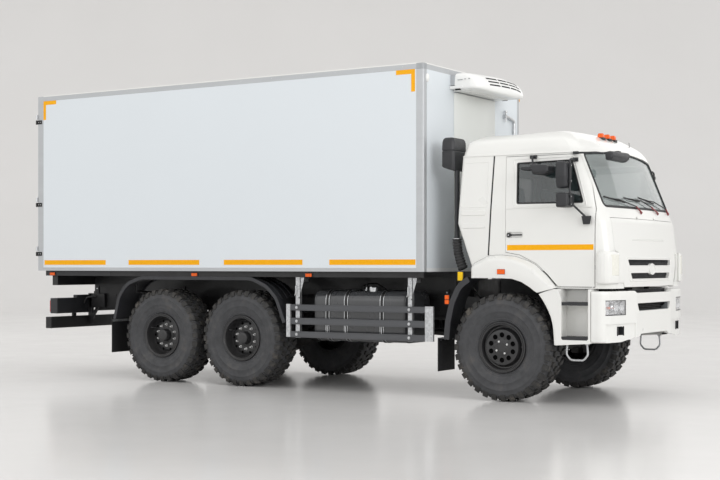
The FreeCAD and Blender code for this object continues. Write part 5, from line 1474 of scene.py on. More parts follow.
# ------------------------------------------------------------------ entry steps
b = Build()
SIDE = [(0.668, 0.660), (1.085, 0.690), (1.085, 1.285), (1.055, 1.285), (1.055, 0.739), (1.040, 0.724), (0.752, 0.724), (0.739, 0.739), (0.739, 1.077), (0.736, 1.178),
        (0.716, 1.240), (0.700, 1.285), (0.640, 1.285), (0.560, 1.262), (0.478, 1.232), (0.524, 1.170), (0.563, 1.108), (0.598, 1.042), (0.628, 0.973), (0.645, 0.905), (0.656, 0.838), (0.663, 0.750)]
b.prism("cab", "XZ", SIDE, -1.245, -1.205)
n0 = 0
b.box("cab", 0.690, 1.085, -1.030, -1.005, 0.690, 1.285)
b.box("cab", 0.690, 1.085, -1.215, -1.020, 0.690, 0.722)
b.box("cab", 0.690, 1.085, -1.205, -1.020, 1.110, 1.120)
b.box("cab", 0.690, 0.715, -1.210, -1.010, 0.690, 1.285)
b.box("cab", 1.055, 1.085, -1.210, -1.010, 0.690, 1.285)
b.box("chassis", 0.90, 0.99, -1.010, -0.431, 1.08, 1.12)
b.mirror()
st = b.done("entry_step_box", "chassis", "cab_paint", bevel=0.006, seg=3)
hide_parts("entry_steps")
b = Build()
lip = [(0.478, 1.232), (0.524, 1.170), (0.563, 1.108), (0.598, 1.042), (0.628, 0.973), (0.645, 0.905), (0.656, 0.838), (0.663, 0.750), (0.668, 0.664)]
b.strip("cab", lip, -1.2475, -1.190, 0.010)
b.strip("mudguard", lip, -1.2, -0.86, 0.008)
b.mirror()
b.done("step_arch_lip", "chassis", "cab_paint", bevel=0.0025)
b = Build()
for z in (0.737, 1.1165):  # dark treads with raised bars
    b.box("plastic", 0.738, 1.050, -1.238 if z < 1 else -1.225, -1.032, z, z + 0.018)
    for k in range(12):
        x = 0.750 + 0.0255 * k
        b.box("plastic", x, x + 0.012, -1.235 if z < 1 else -1.222, -1.045, z + 0.017, z + 0.0245)
    b.box("plastic", 0.738, 1.050, -1.240 if z < 1 else -1.230, -1.232 if z < 1 else -1.222, z - 0.012, z + 0.024)
b.mirror()
b.done("step_treads", "chassis", "black_plastic", bevel=0.002, seg=1)
b = Build()
loop = round_path([(0.775, -1.150, 0.700), (0.762, -1.150, 0.560), (0.815, -1.150, 0.499), (0.965, -1.150, 0.499), (1.018, -1.150, 0.560), (1.005, -1.150, 0.700)], 0.06, 8)
b.tube("galv", loop, 0.0115, 14)
for x in (0.772, 1.008):
    b.box("galv", x - 0.02, x + 0.02, -1.168, -1.132, 0.672, 0.700)
    b.bolt("steel", (x, -1.168, 0.686), "y", 0.008, 0.006, 6, -1)
b.mirror()
b.done("step_stirrups", "chassis", "steel", angle=40)

# ------------------------------------------------------------------ wheel-arch flares
OUT = line2([(-0.410, 1.400), (-0.410, 1.557), (-0.180, 1.660), (-0.030, 1.664), (0.140, 1.650), (0.300, 1.600), (0.394, 1.553), (0.533, 1.433), (0.655, 1.297)], 0.09, 5)
INN = line2([(0.452, 1.240), (0.415, 1.262), (0.365, 1.300), (0.260, 1.360), (0.140, 1.395), (0.000, 1.400), (-0.2, 1.400), (-0.40, 1.400)], 0.08, 3)


def inward(path, d):
    out = []
    for i, p in enumerate(path):
        a, c = path[max(0, i - 1)], path[min(len(path) - 1, i + 1)]
        dx, dz = c[0] - a[0], c[1] - a[1]
        m = math.hypot(dx, dz) or 1
        k = d[i] if isinstance(d, list) else d
        out.append((p[0] + dz / m * k, p[1] - dx / m * k))
    return out


b = Build()
for s in (-1, 1):
    length = [0.0]
    for p, r in zip(OUT, OUT[1:]):
        length.append(length[-1] + math.hypot(r[0] - p[0], r[1] - p[1]))
    layers = []
    for y, d, e in ((1.140, 0.0, 0.0), (1.163, 0.0, 0.0), (1.176, 0.004, 0.0), (1.200, 0.013, 0.0), (1.222, 0.024, 0.0), (1.240, 0.036, 0.0), (1.2505, 0.048, 0.0), (1.256, 0.060, 0.002), (1.2575, 0.072, 0.008)):
        ds = [d * min(1.0, (0.18 + 0.82 * min(1.0, (length[-1] - l) / 0.22))) for l in length]
        outer = inward(OUT, ds)
        innr = inward(INN, e)
        innr[-1] = (max(innr[-1][0], outer[0][0] + 0.004), innr[-1][1])  # the foot closes on the rear end
        layers.append([(x, s * y, z) for x, z in outer + innr])
    n = len(layers[0])
    v = [p for l in layers for p in l]
    f = [(a * n + j, a * n + (j + 1) % n, (a + 1) * n + (j + 1) % n, (a + 1) * n + j) for a in range(len(layers) - 1) for j in range(n)]
    f += [tuple(range(n))[::-1], tuple(range((len(layers) - 1) * n, len(layers) * n))]
    b.add(v, f, "cab")
    b.box("mudguard", -0.400, 0.0, s * 1.150, s * 1.0, 1.401, 1.499)
fl = b.done("arch_flare_skins", "cab", "cab_paint", angle=28)
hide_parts("arch_flares")
b = Build()
for s in (-1, 1):  # thin joint line against the cab's side
    run = [p for p in inward(OUT, -0.002)][4:]
    b.strip("rubber", run, s * 1.158, s * 1.1615, 0.0022)
b.done("flare_joint", "cab", "black_plastic", angle=30)
b = Build()
for s in (-1, 1):
    b.box("orange", -0.036, 0.058, s * 1.2555, s * 1.268, 1.448, 1.500)
    b.box("plastic", -0.040, 0.062, s * 1.2500, s * 1.259, 1.443, 1.505)
b.done("flare_repeater_lamps", "cab", "lamp_lens", bevel=0.004, seg=3)

# ------------------------------------------------------------------ mudguards
FENDER = [(-5.830, 0.820), (-5.750, 1.130), (-5.610, 1.310), (-5.350, 1.400), (-3.505, 1.400), (-3.256, 1.300), (-3.098, 1.150), (-2.975, 0.840)]
path = line2(FENDER, 0.36, 8)
b = Build()
b.strip("mudguard", path, -1.2500, -0.8000, 0.008)
b.strip("mudguard", path, -1.2520, -1.2400, 0.045)
b.strip("mudguard", path, -0.8080, -0.8000, 0.030)
for k in range(3):  # pressed beads along the sheet
    y = -1.15 + 0.12 * k
    b.strip("mudguard", path[4:-4], y - 0.012, y + 0.012, -0.006)
b.mirror()
g = b.done("tandem_mudguard_skins", "chassis", "mudguard_plastic", bevel=0.002)
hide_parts("tandem_mudguards")
b = Build()
b.box("rubber", -5.862, -5.853, -1.245, -0.805, 0.362, 0.850)
b.box("galv", -5.853, -5.847, -1.235, -0.815, 0.780, 0.812)
for k in range(5):
    b.bolt("steel", (-5.862, -1.20 + 0.085 * k, 0.796), "x", 0.007, 0.005, 6, -1)
for x in (-5.77, -3.15):
    b.box("chassis", x, x + 0.04, -1.0, -0.431, 1.140, 1.168)
b.tube("chassis", [(-5.62, -1.02, 1.300), (-5.62, -1.02, 1.19), (-5.62, -0.44, 1.15)], 0.018, 12)
b.tube("chassis", [(-3.24, -1.02, 1.280), (-3.24, -1.02, 1.19), (-3.24, -0.44, 1.15)], 0.018, 12)
b.mirror()
b.done("tandem_flaps_and_stays", "chassis", "mudguard_plastic", bevel=0.0015, seg=1)

FRONT = line2([(-0.432, 1.418), (-0.560, 1.330), (-0.660, 1.130), (-0.715, 0.900), (-0.735, 0.690)], 0.32, 9)
b = Build()
b.strip("mudguard", FRONT, -1.240, -0.830, -0.008)
b.strip("mudguard", FRONT, -1.2435, -1.230, -0.070)
b.strip("mudguard", inward(FRONT, -0.060), -1.2470, -1.2300, -0.012)
for k in range(2):
    b.strip("mudguard", FRONT[2:-2], -1.12 + 0.14 * k, -1.09 + 0.14 * k, 0.006)
b.box("mudguard", -0.812, -0.728, -1.238, -0.832, 0.690, 0.700)
b.mirror()
g = b.done("front_mudguard_skins", "chassis", "mudguard_plastic", bevel=0.0025)
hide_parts("front_mudguards")
b = Build()
b.box("rubber", -0.816, -0.806, -1.238, -0.832, 0.312, 0.704)
for k in range(4):
    b.bolt("steel", (-0.806, -1.18 + 0.1 * k, 0.675), "x", 0.007, 0.005, 6, 1)
b.tube("chassis", [(-0.690, -0.845, 1.015), (-0.690, -0.431, 1.015)], 0.018, 12)
b.box("chassis", -0.715, -0.665, -0.86, -0.845, 0.98, 1.05)
b.mirror()
b.done("front_flaps_and_stays", "chassis", "mudguard_plastic", bevel=0.0015, seg=1)

# ------------------------------------------------------------------ side guards
b = Build()
for x0, x1 in ((-2.960, -2.900), (-0.979, -0.869)):
    b.box("galv", x0, x1, -1.250, -1.220, 0.655, 1.065)
for z0, z1 in ((0.986, 1.060), (0.814, 0.894), (0.652, 0.727)):
    b.box("guard", -2.900, -0.979, -1.248, -1.222, z0, z1)
    for zz in (z0 + 0.010, z1 - 0.014):
        b.box("guard", -2.898, -0.981, -1.2495, -1.247, zz, zz + 0.004)
b.mirror()
g = b.done("side_guard_rails", "chassis", "guard_metal", bevel=0.003)
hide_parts("side_guards")
b = Build()
for x0, x1 in ((-2.840, -2.770), (-1.229, -1.163)):
    xm = (x0 + x1) / 2
    b.box("galv", x0, x1, -1.220, -1.208, 0.648, 1.400)
    b.box("galv", x0, x0 + 0.006, -1.220, -1.180, 0.70, 1.395)
    b.box("galv", x1 - 0.006, x1, -1.220, -1.180, 0.70, 1.395)
    b.prism("galv", "XZ", [(x1, 1.395), (x1 + 0.055, 1.395), (x1 + 0.045, 1.34), (x1, 1.20)], -1.214, -1.208)
    b.box("galv", x0, x0 + 0.05, -1.208, -1.0, 1.340, 1.3985)
    for z in (1.023, 0.854, 0.690):
        b.bolt("steel", (xm, -1.2500, z), "y", 0.013, 0.010, 6, -1)
        b.lathe("steel", [(0.0005, 0), (0.019, 0), (0.019, 0.003), (0.0005, 0.003)], (xm, -1.2485, z), "y", 20, -1, closed=False)
    for z in (1.37, 1.29):
        b.bolt("steel", (xm + 0.012, -1.220, z), "y", 0.010, 0.008, 6, -1)
    b.tube("steel", round_path([(xm - 0.02, -1.226, 1.30), (xm - 0.02, -1.238, 1.285), (xm - 0.02, -1.238, 1.20), (xm - 0.035, -1.238, 1.17)], 0.01), 0.006, 10)
    b.tube("steel", [(xm + 0.02, -1.222, 1.145), (xm + 0.02, -1.248, 1.145)], 0.009, 12)
b.mirror()
b.done("side_guard_brackets", "chassis", "steel", bevel=0.0015, seg=1)


# ------------------------------------------------------------------ fuel tank
def rounded_rect(y0, y1, z0, z1, r, n=8):
    pts = []
    for cy_, cz_, a0 in ((y1 - r, z1 - r, 0), (y0 + r, z1 - r, 90), (y0 + r, z0 + r, 180), (y1 - r, z0 + r, 270)):
        for k in range(n + 1):
            t = rad(a0 + 90 * k / n)
            pts.append((cy_ + r * math.cos(t), cz_ + r * math.sin(t)))
    return pts


def loft_x(b, key, rows):
    """Sections in y, z at several x, joined and capped."""
    n = len(rows[0][1])
    v = [(x, y, z) for x, pts in rows for y, z in pts]
    f = [(a * n + j, a * n + (j + 1) % n, (a + 1) * n + (j + 1) % n, (a + 1) * n + j) for a in range(len(rows) - 1) for j in range(n)]
    f += [tuple(range(n))[::-1], tuple(range((len(rows) - 1) * n, len(rows) * n))]
    b.add(v, f, key)


def tank_rows(x0, x1, y0, y1, z0, z1, r, bulge=0.018):
    rows = []
    for t, d in ((0.0, 0.045), (0.006, 0.018), (0.016, 0.005), (0.030, 0.0)):
        rows.append((x0 + t, rounded_rect(y0 + d, y1 - d, z0 + d, z1 - d, r - d * 0.5)))
    for t, d in ((0.030, 0.0), (0.016, 0.005), (0.006, 0.018), (0.0, 0.045)):
        rows.append((x1 - t, rounded_rect(y0 + d, y1 - d, z0 + d, z1 - d, r - d * 0.5)))
    return rows


b = Build()
loft_x(b, "tank", tank_rows(-2.620, -1.300, -1.146, -0.524, 0.614, 1.236, 0.13))
for x in (-2.595, -1.337):
    A = rounded_rect(-1.1485, -0.5215, 0.6115, 1.2385, 0.131)
    loft_x(b, "tank", [(x, A), (x + 0.012, A)])
t = b.done("fuel_tank_shell", "chassis", "chassis_paint", angle=35)
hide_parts("fuel_tank")
b = Build()
for x in (-2.435, -2.165, -1.655):
    A, B = rounded_rect(-1.152, -0.518, 0.608, 1.242, 0.135), rounded_rect(-1.145, -0.525, 0.615, 1.235, 0.129)
    n = len(A)
    v = [(xx, y, z) for xx, P in ((x, A), (x + 0.055, A), (x + 0.055, B), (x, B)) for y, z in P]
    f = [(a * n + j, a * n + (j + 1) % n, ((a + 1) % 4) * n + (j + 1) % n, ((a + 1) % 4) * n + j) for a in range(4) for j in range(n)]
    b.add(v, f, "chassis")
    for e in (0.0, 0.047):  # bright folded edges
        A2, B2 = rounded_rect(-1.1535, -0.5165, 0.6065, 1.2435, 0.136), A
        v = [(xx, y, z) for xx, P in ((x + e, A2), (x + e + 0.008, A2), (x + e + 0.008, B2), (x + e, B2)) for y, z in P]
        b.add(v, f, "steel")
    b.tube("steel", [(x + 0.0275, -1.158, 0.80), (x + 0.0275, -1.158, 0.70)], 0.007, 10)
    b.bolt("steel", (x + 0.0275, -1.150, 0.80), "z", 0.013, 0.012, 6, 1)
for x in (-2.44, -1.66):
    b.box("chassis", x, x + 0.06, -0.520, -0.431, 0.70, 1.15)
b.done("fuel_tank_straps", "chassis", "steel", angle=40)
b = Build()
b.lathe("steel", [(0.0005, 0), (0.052, 0), (0.052, 0.018), (0.058, 0.020), (0.058, 0.046), (0.050, 0.052), (0.0005, 0.054)], (-1.82, -1.02, 1.228), "z", 36, closed=False)
b.box("steel", -1.835, -1.805, -1.085, -0.955, 1.270, 1.284)
b.lathe("steel", [(0.0005, 0), (0.026, 0), (0.026, 0.014), (0.012, 0.020), (0.012, 0.040), (0.0005, 0.040)], (-2.02, -0.86, 1.234), "z", 24, closed=False)
b.tube("hose", round_path([(-2.02, -0.86, 1.27), (-2.02, -0.86, 1.315), (-2.02, -0.62, 1.32), (-1.90, -0.46, 1.20)], 0.05), 0.009, 10)
b.tube("hose", round_path([(-2.10, -0.80, 1.235), (-2.10, -0.80, 1.30), (-2.16, -0.62, 1.30), (-2.20, -0.45, 1.18)], 0.05), 0.007, 10)
b.done("fuel_tank_cap", "chassis", "steel", angle=40)

# ------------------------------------------------------------------ battery box and air tanks, on the left
b = Build()
b.box("plastic", -1.900, -1.300, 0.565, 1.140, 1.02, 1.180)
b.box("chassis", -1.885, -1.315, 0.560, 1.125, 0.700, 1.02)
for k in range(7):
    b.box("plastic", -1.86 + 0.08 * k, -1.82 + 0.08 * k, 0.60, 1.10, 1.176, 1.1795)
for k in range(4):
    z = 0.75 + 0.065 * k
    b.box("chassis", -1.87, -1.33, 1.122, 1.128, z, z + 0.02)
for x in (-1.76, -1.50):
    b.box("chassis", x, x + 0.06, 0.431, 0.560, 0.72, 1.15)
for x in (-1.78, -1.42):
    b.box("steel", x - 0.012, x + 0.012, 1.126, 1.136, 0.96, 1.08)
    b.tube("steel", [(x, 1.139, 1.06), (x, 1.139, 0.98)], 0.006, 10)
bb = b.done("battery_case", "chassis", "black_plastic", bevel=0.006, seg=3)
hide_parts("battery_box")
b = Build()
for x in (-2.64, -2.33):
    for z in (0.78, 1.05):
        prof = [(0.0005, 0.0), (0.030, 0.001), (0.070, 0.008), (0.100, 0.022), (0.118, 0.042), (0.1245, 0.066), (0.125, 0.08), (0.125, 0.48), (0.1245, 0.494),
                (0.118, 0.518), (0.100, 0.538), (0.070, 0.552), (0.030, 0.559), (0.0005, 0.560)]
        b.lathe("tank", prof, (x, 0.52, z), "y", 48, closed=False)
        for y in (0.66, 0.92):
            b.lathe("galv", [(0.1252, 0), (0.1275, 0), (0.1275, 0.03), (0.1252, 0.03)], (x, y, z), "y", 48)
        b.lathe("steel", [(0.0005, 0), (0.016, 0), (0.016, 0.018), (0.010, 0.022), (0.0005, 0.022)], (x, 1.079, z), "y", 6, closed=False)
    b.box("chassis", x - 0.03, x + 0.03, 0.431, 0.540, 0.70, 1.15)
    b.box("chassis", x - 0.02, x + 0.02, 0.56, 0.60, 0.78, 1.05)
a = b.done("air_tank_shells", "chassis", "chassis_paint", angle=35)
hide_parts("air_tanks")

# ------------------------------------------------------------------ rails, subframe and running gear details
b = Build()
for i in range(24):
    x = -6.85 + 0.33 * i
    for z in (0.985, 1.115):
        b.bolt("chassis", (x, -0.430, z), "y", 0.011, 0.008, 6, -1)
b.box("plastic", -7.06, -5.90, -1.2415, -1.232, 1.402, 1.468)
for x in (-6.9, -5.3, -3.7, -2.2, -1.15):  # U-clamps between subframe and frame
    b.box("chassis", x, x + 0.06, -0.442, -0.4305, 1.04, 1.25)
    b.bolt("steel", (x + 0.03, -0.442, 1.10), "y", 0.012, 0.008, 6, -1)
    b.bolt("steel", (x + 0.03, -0.442, 1.21), "y", 0.012, 0.008, 6, -1)
b.mirror()
for y, z, r in ((-0.36, 1.03, 0.008), (-0.375, 1.055, 0.006), (0.36, 1.03, 0.008), (0.37, 1.06, 0.010)):
    b.tube("hose", [(-6.7, y, z), (-5.0, y, z - 0.004), (-3.0, y, z + 0.003), (-1.2, y, z), (0.6, y, z)], r, 8)
b.done("frame_bolts_and_lines", "chassis", "chassis_paint", angle=40)
b = Build()
for s in (-1, 1):
    yy = s * 0.425
    for x0 in (-0.09, 0.09):  # front U-bolts
        b.tube("steel", round_path([(x0, yy - 0.05, 0.50), (x0, yy - 0.05, 0.815), (x0, yy + 0.05, 0.815), (x0, yy + 0.05, 0.50)], 0.02), 0.010, 10)
    b.box("cast", -0.13, 0.13, yy - 0.065, yy + 0.065, 0.515, 0.540)
    for k in range(6):  # leaves
        z = 0.705 + 0.016 * k
        L = 0.30 + 0.07 * k
        b.strip("cast", [(-L, z + 0.02 + 0.05 * (L / 0.8) ** 2), (0.0, z), (L, z + 0.02 + 0.05 * (L / 0.8) ** 2)], yy - 0.047, yy + 0.047, -0.003)
    yt = s * 0.505
    for x0 in (-4.44, -4.26):
        b.tube("steel", round_path([(x0, yt - 0.062, 0.62), (x0, yt - 0.062, 0.912), (x0, yt + 0.062, 0.912), (x0, yt + 0.062, 0.62)], 0.02), 0.011, 10)
    b.lathe("cast", [(0.0005, 0), (0.095, 0), (0.095, 0.03), (0.07, 0.04), (0.0005, 0.042)], (-4.35, s * 0.600, 0.72), "y", 32, s, closed=False)
    for k in range(6):
        t = 2 * math.pi * k / 6
        b.bolt("steel", (-4.35 + 0.055 * math.cos(t), s * 0.640, 0.72 + 0.055 * math.sin(t)), "y", 0.009, 0.008, 6, s)
    for ax in (MIDX, REARX):  # torque rods and brake chambers on the tandem
        q = 1 if ax > -4.35 else -1
        b.tube("cast", [(ax, s * 0.62, 0.50), (ax + (-4.35 - ax) * 0.92, s * 0.62, 0.60)], 0.026, 12)
        b.lathe("cast", [(0.0005, 0), (0.075, 0.0), (0.082, 0.02), (0.082, 0.05), (0.088, 0.055), (0.088, 0.065), (0.080, 0.070), (0.080, 0.13), (0.06, 0.15), (0.0005, 0.15)],
                (ax + q * 0.20, s * 0.70, 0.66), "x", 28, q, closed=False)
        b.tube("cast", [(ax + q * 0.20, s * 0.70, 0.66), (ax + q * 0.08, s * 0.70, 0.66)], 0.014, 10)
    # front dampers
    b.tube("cast", [(-0.22, s * 0.56, 0.62), (-0.30, s * 0.53, 1.02)], 0.032, 16)
    b.tube("steel", [(-0.30, s * 0.53, 1.0), (-0.31, s * 0.525, 1.10)], 0.012, 10)
b.tube("cast", [(0.17, -0.59, 0.56), (0.17, 0.59, 0.56)], 0.020, 14)
for s in (-1, 1):  # ball joints and short arms at the tie rod's ends, inboard of the wheels' swing
    b.ball("cast", (0.17, s * 0.59, 0.56), 0.032, 20)
    b.tube("cast", [(0.17, s * 0.59, 0.56), (0.03, s * 0.60, 0.60)], 0.022, 12)
b.tube("cast", [(0.25, 0.42, 0.62), (0.62, 0.40, 0.92)], 0.018, 12)
b.done("running_gear_details", "chassis", "cast_part", angle=40)
paint("leaf_springs", "cast")

# ------------------------------------------------------------------ rear end
b = Build()
b.box("chassis", -7.090, -6.990, -1.245, 1.245, 0.660, 0.820)
for s in (-1, 1):
    b.box("chassis", -7.015, -6.945, s * 0.480, s * 0.431, 0.700, 1.140)
    b.box("chassis", -6.992, -6.700, s * 0.480, s * 0.431, 0.940, 1.140)
    b.prism("chassis", "XZ", [(-6.83, 1.0), (-6.78, 1.0), (-6.94, 0.76), (-6.985, 0.79)], s * 0.476, s * 0.445)
    b.box("rubber", -7.093, -6.987, s * 1.250, s * 1.240, 0.662, 0.818)
u = b.done("underrun_beam", "chassis", "chassis_paint", bevel=0.006, seg=3)
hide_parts("underrun_bar")
b = Build()
for s in (-1, 1):
    b.box("plastic", -7.160, -7.022, s * 0.402, s * 1.098, 0.862, 1.080)
    b.box("plastic", -7.100, -7.022, s * 0.40, s * 0.70, 1.066, 1.120)
    b.box("chassis", -7.075, -7.030, s * 0.70, s * 0.76, 0.820, 0.861)
lb = b.done("rear_lamp_cases", "chassis", "black_plastic", bevel=0.010, seg=3)
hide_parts("rear_lamps")
b = Build()
for s in (-1, 1):
    for y0, y1, key in ((0.415, 0.62, "red"), (0.625, 0.78, "cream"), (0.785, 0.92, "orange"), (0.925, 1.085, "red")):
        b.box(key, -7.1785, -7.158, s * y0, s * y1, 0.885, 1.045)
    b.lathe("red", [(0.0005, 0), (0.042, 0), (0.042, 0.008), (0.036, 0.012), (0.0005, 0.012)], (-7.090, s * 1.18, 0.74), "x", 28, -1, closed=False)
    b.box("steel", -7.1725, -7.158, s * 0.4095, s * 1.0905, 0.878, 0.8815)
b.done("rear_lamp_lenses", "chassis", "lamp_lens", bevel=0.006, seg=3)
b = Build()  # blank plate holder, tow coupling, cable loops
b.box("plastic", -7.045, -7.036, -0.27, 0.27, 0.88, 1.0)
b.box("unit", -7.049, -7.044, -0.26, 0.26, 0.885, 0.995)
b.lathe("cast", [(0.0005, 0), (0.085, 0), (0.085, 0.03), (0.055, 0.05), (0.05, 0.10), (0.0005, 0.10)], (-6.955, 0.0, 1.06), "x", 32, -1, closed=False)
b.tube("cast", [(-7.05, -0.045, 1.10), (-7.095, -0.045, 1.10), (-7.12, 0.0, 1.10), (-7.095, 0.045, 1.10), (-7.05, 0.045, 1.10)], 0.016, 12)
b.box("cast", -6.98, -6.95, -0.42, 0.42, 0.985, 1.135)
for s in (-1, 1):
    b.tube("hose", round_path([(-7.03, s * 0.55, 1.0), (-6.98, s * 0.55, 1.08), (-6.86, s * 0.50, 1.10), (-6.80, s * 0.38, 1.06)], 0.05), 0.012, 10)
b.done("rear_coupling", "chassis", "cast_part", bevel=0.003)

# ------------------------------------------------------------------ marker lamps and side reflectors
b = Build()
for s in (-1, 1):
    for x in (-6.96, -4.42, -2.62):
        b.box("orange", x - 0.045, x + 0.045, s * 1.243, s * 1.262, 1.405, 1.445)
        b.box("plastic", x - 0.050, x + 0.050, s * 1.240, s * 1.250, 1.400, 1.450)
    for z in (1.098, 1.152):
        b.box("orange", -0.715, -0.665, s * 1.232, s * 1.254, z, z + 0.048)
    b.box("plastic", -0.720, -0.660, s * 1.2, s * 1.236, 1.094, 1.204)
    b.box("yellow", -0.572, -0.508, s * 1.185, s * 1.205, 1.370, 1.470)
    b.box("plastic", -0.578, -0.502, s * 1.12, s * 1.190, 1.364, 1.476)
    b.tube("chassis", [(-0.54, s * 1.13, 1.40), (-0.60, s * 0.90, 1.36), (-0.66, s * 0.44, 1.15)], 0.012, 10)
b.done("side_marker_lamps", "chassis", "lamp_lens", bevel=0.005, seg=3)

# ------------------------------------------------------------------ rear support of the cab, across the frame
b = Build()
b.prism("chassis", "YZ", [(-0.74, 1.20), (-0.50, 1.165), (0.50, 1.165), (0.74, 1.20), (0.74, 1.375), (-0.74, 1.375)], -0.770, -0.762)
b.box("chassis", -0.770, -0.715, -0.74, 0.74, 1.367, 1.375)
n0 = len(b.v)
b.prism("chassis", "XZ", [(-0.775, 1.151), (-0.700, 1.151), (-0.715, 1.366), (-0.775, 1.366)], -0.420, -0.370)
b.lathe("rubber", [(0.0005, 0), (0.046, 0), (0.050, 0.008), (0.044, 0.018), (0.0005, 0.018)], (-0.742, -0.640, 1.375), "z", 28, closed=False)
for y in (-0.60, -0.52, -0.30):
    b.bolt("steel", (-0.770, y, 1.27), "x", 0.010, 0.008, 6, -1)
b.mirror(n0)
b.done("cab_rear_support", "chassis", "chassis_paint", bevel=0.002)

# ------------------------------------------------------------------ air intake with its bellows
b = Build()
plan = [(-0.762, -0.855), (-0.660, -0.855), (-0.628, -0.885), (-0.628, -1.165), (-0.655, -1.195), (-0.768, -1.195), (-0.796, -1.167), (-0.796, -0.888)]
rings = []
for z, d, low in ((2.640, 0.016, 1), (2.645, 0.004, 1), (2.655, 0.0, 1), (2.80, 0.0, 0), (2.872, 0.0, 0), (2.877, 0.006, 0), (2.885, 0.006, 0), (2.890, 0.0, 0),
                  (2.98, 0.002, 0), (3.006, 0.009, 0), (3.024, 0.020, 0), (3.033, 0.034, 0), (3.037, 0.052, 0)):
    rings.append([(x, y, z + (0.052 * (-0.628 - x) / 0.168 if low else 0)) for x, y in offset(plan, -d)])
n = len(rings[0])
v = [p for r in rings for p in r]
f = [(a * n + j, a * n + (j + 1) % n, (a + 1) * n + (j + 1) % n, (a + 1) * n + j) for a in range(len(rings) - 1) for j in range(n)]
f += [tuple(range(n))[::-1], tuple(range((len(rings) - 1) * n, len(rings) * n))]
b.add(v, f, "plastic")
h = b.done("intake_head", "cab", "black_plastic", angle=30, bevel=0.004)
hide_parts("air_intake")
b = Build()
# louvre slots drawn as near-black strips: painted shade inside them
for k in range(8):
    z = 2.715 + 0.019 * k
    b.box("dark", -0.7975, -0.793, -1.155, -0.90, z, z + 0.009)
n = 16
rows = []
for x, z in [(-0.640, 2.652), (-0.640, 2.45), (-0.640, 2.20), (-0.640, 2.05), (-0.640, 1.95), (-0.641, 1.86)]:
    rows.append([(x + 0.027 * math.cos(2 * math.pi * k / n), -1.085 + 0.044 * math.sin(2 * math.pi * k / n), z) for k in range(n)])
v = [p for r in rows for p in r]
f = [(a * n + j, a * n + (j + 1) % n, (a + 1) * n + (j + 1) % n, (a + 1) * n + j) for a in range(len(rows) - 1) for j in range(n)]
f += [tuple(range(n)), tuple(range((len(rows) - 1) * n, len(rows) * n))[::-1]]
b.add(v, f, "plastic")
rows = []
m = 44
for k in range(m + 1):  # rubber bellows that curves down from the duct
    t = k / m
    x, z = -0.641 + 0.081 * t * t, 1.866 - 0.362 * t
    r = 0.049 if k in (0, m) else 0.047 + 0.0105 * (0.5 - 0.5 * math.cos(2 * math.pi * k / 4))
    tilt = 0.162 * t / 0.362
    rows.append([(x + r * math.cos(2 * math.pi * q / 24), -1.085 + r * math.sin(2 * math.pi * q / 24), z + tilt * r * math.cos(2 * math.pi * q / 24)) for q in range(24)])
v = [p for r in rows for p in r]
f = [(a * 24 + q, a * 24 + (q + 1) % 24, (a + 1) * 24 + (q + 1) % 24, (a + 1) * 24 + q) for a in range(m) for q in range(24)]
f += [tuple(range(24)), tuple(range(m * 24, (m + 1) * 24))[::-1]]
b.add(v, f, "hose")
b.lathe("steel", [(0.050, 0), (0.0545, 0), (0.0545, 0.012), (0.050, 0.012)], (-0.641, -1.085, 1.848), "z", 28)
b.done("intake_duct", "cab", "black_plastic", angle=50)

# ------------------------------------------------------------------ wipers
def wiper(b, pivot, path, blade, n=8):
    px, py, pz = pivot
    b.lathe("maroon", [(0.0005, 0), (0.020, 0), (0.020, 0.012), (0.014, 0.020), (0.0005, 0.022)], (px - 0.004, py, pz), "x", 20, closed=False)
    P = [(px + 0.016, py, pz)] + [(x + 0.020, y, z) for x, y, z in path]
    b.tube("maroon", P[:2], 0.009, 10)
    b.tube("rubber", P[1:], 0.0065, 10)
    (x0, y0, z0), (x1, y1, z1) = blade
    run = [(x0 + (x1 - x0) * k / n + 0.011, y0 + (y1 - y0) * k / n, z0 + (z1 - z0) * k / n) for k in range(n + 1)]
    run = [(max(x, skin_x(y, z) + 0.010), y, z) for x, y, z in run]
    b.tube("rubber", run, 0.0055, 8)
    b.tube("rubber", [(x - 0.005, y, z - 0.006) for x, y, z in run], 0.004, 6)
    m = run[n // 2]
    b.tube("rubber", [(P[-1][0], P[-1][1], P[-1][2]), (m[0] + 0.006, m[1], m[2])], 0.006, 8)
    for a, c in ((n // 4, 3 * n // 4),):
        b.tube("rubber", [run[a], (m[0] + 0.012, m[1], m[2] + 0.004), run[c]], 0.0045, 8)


b = Build()
wiper(b, (skin_x(-0.104, 2.154), -0.104, 2.154), [(skin_x(-0.235, 2.222), -0.235, 2.222), (skin_x(-0.668, 2.291), -0.668, 2.291)],
      ((skin_x(-0.975, 2.311), -0.975, 2.311), (skin_x(-0.489, 2.259), -0.489, 2.259)))
wiper(b, (skin_x(0.482, 2.160), 0.482, 2.160), [(skin_x(0.269, 2.233), 0.269, 2.233), (skin_x(-0.023, 2.300), -0.023, 2.300)],
      ((skin_x(-0.486, 2.316), -0.486, 2.316), (skin_x(-0.038, 2.284), -0.038, 2.284)))
wiper(b, (skin_x(0.950, 2.168), 0.950, 2.168), [(skin_x(0.88, 2.230), 0.88, 2.230), (skin_x(0.45, 2.300), 0.45, 2.300)],
      ((skin_x(-0.05, 2.335), -0.05, 2.335), (skin_x(0.448, 2.279), 0.448, 2.279)))
b.done("wipers", "cab", "black_plastic", angle=40)

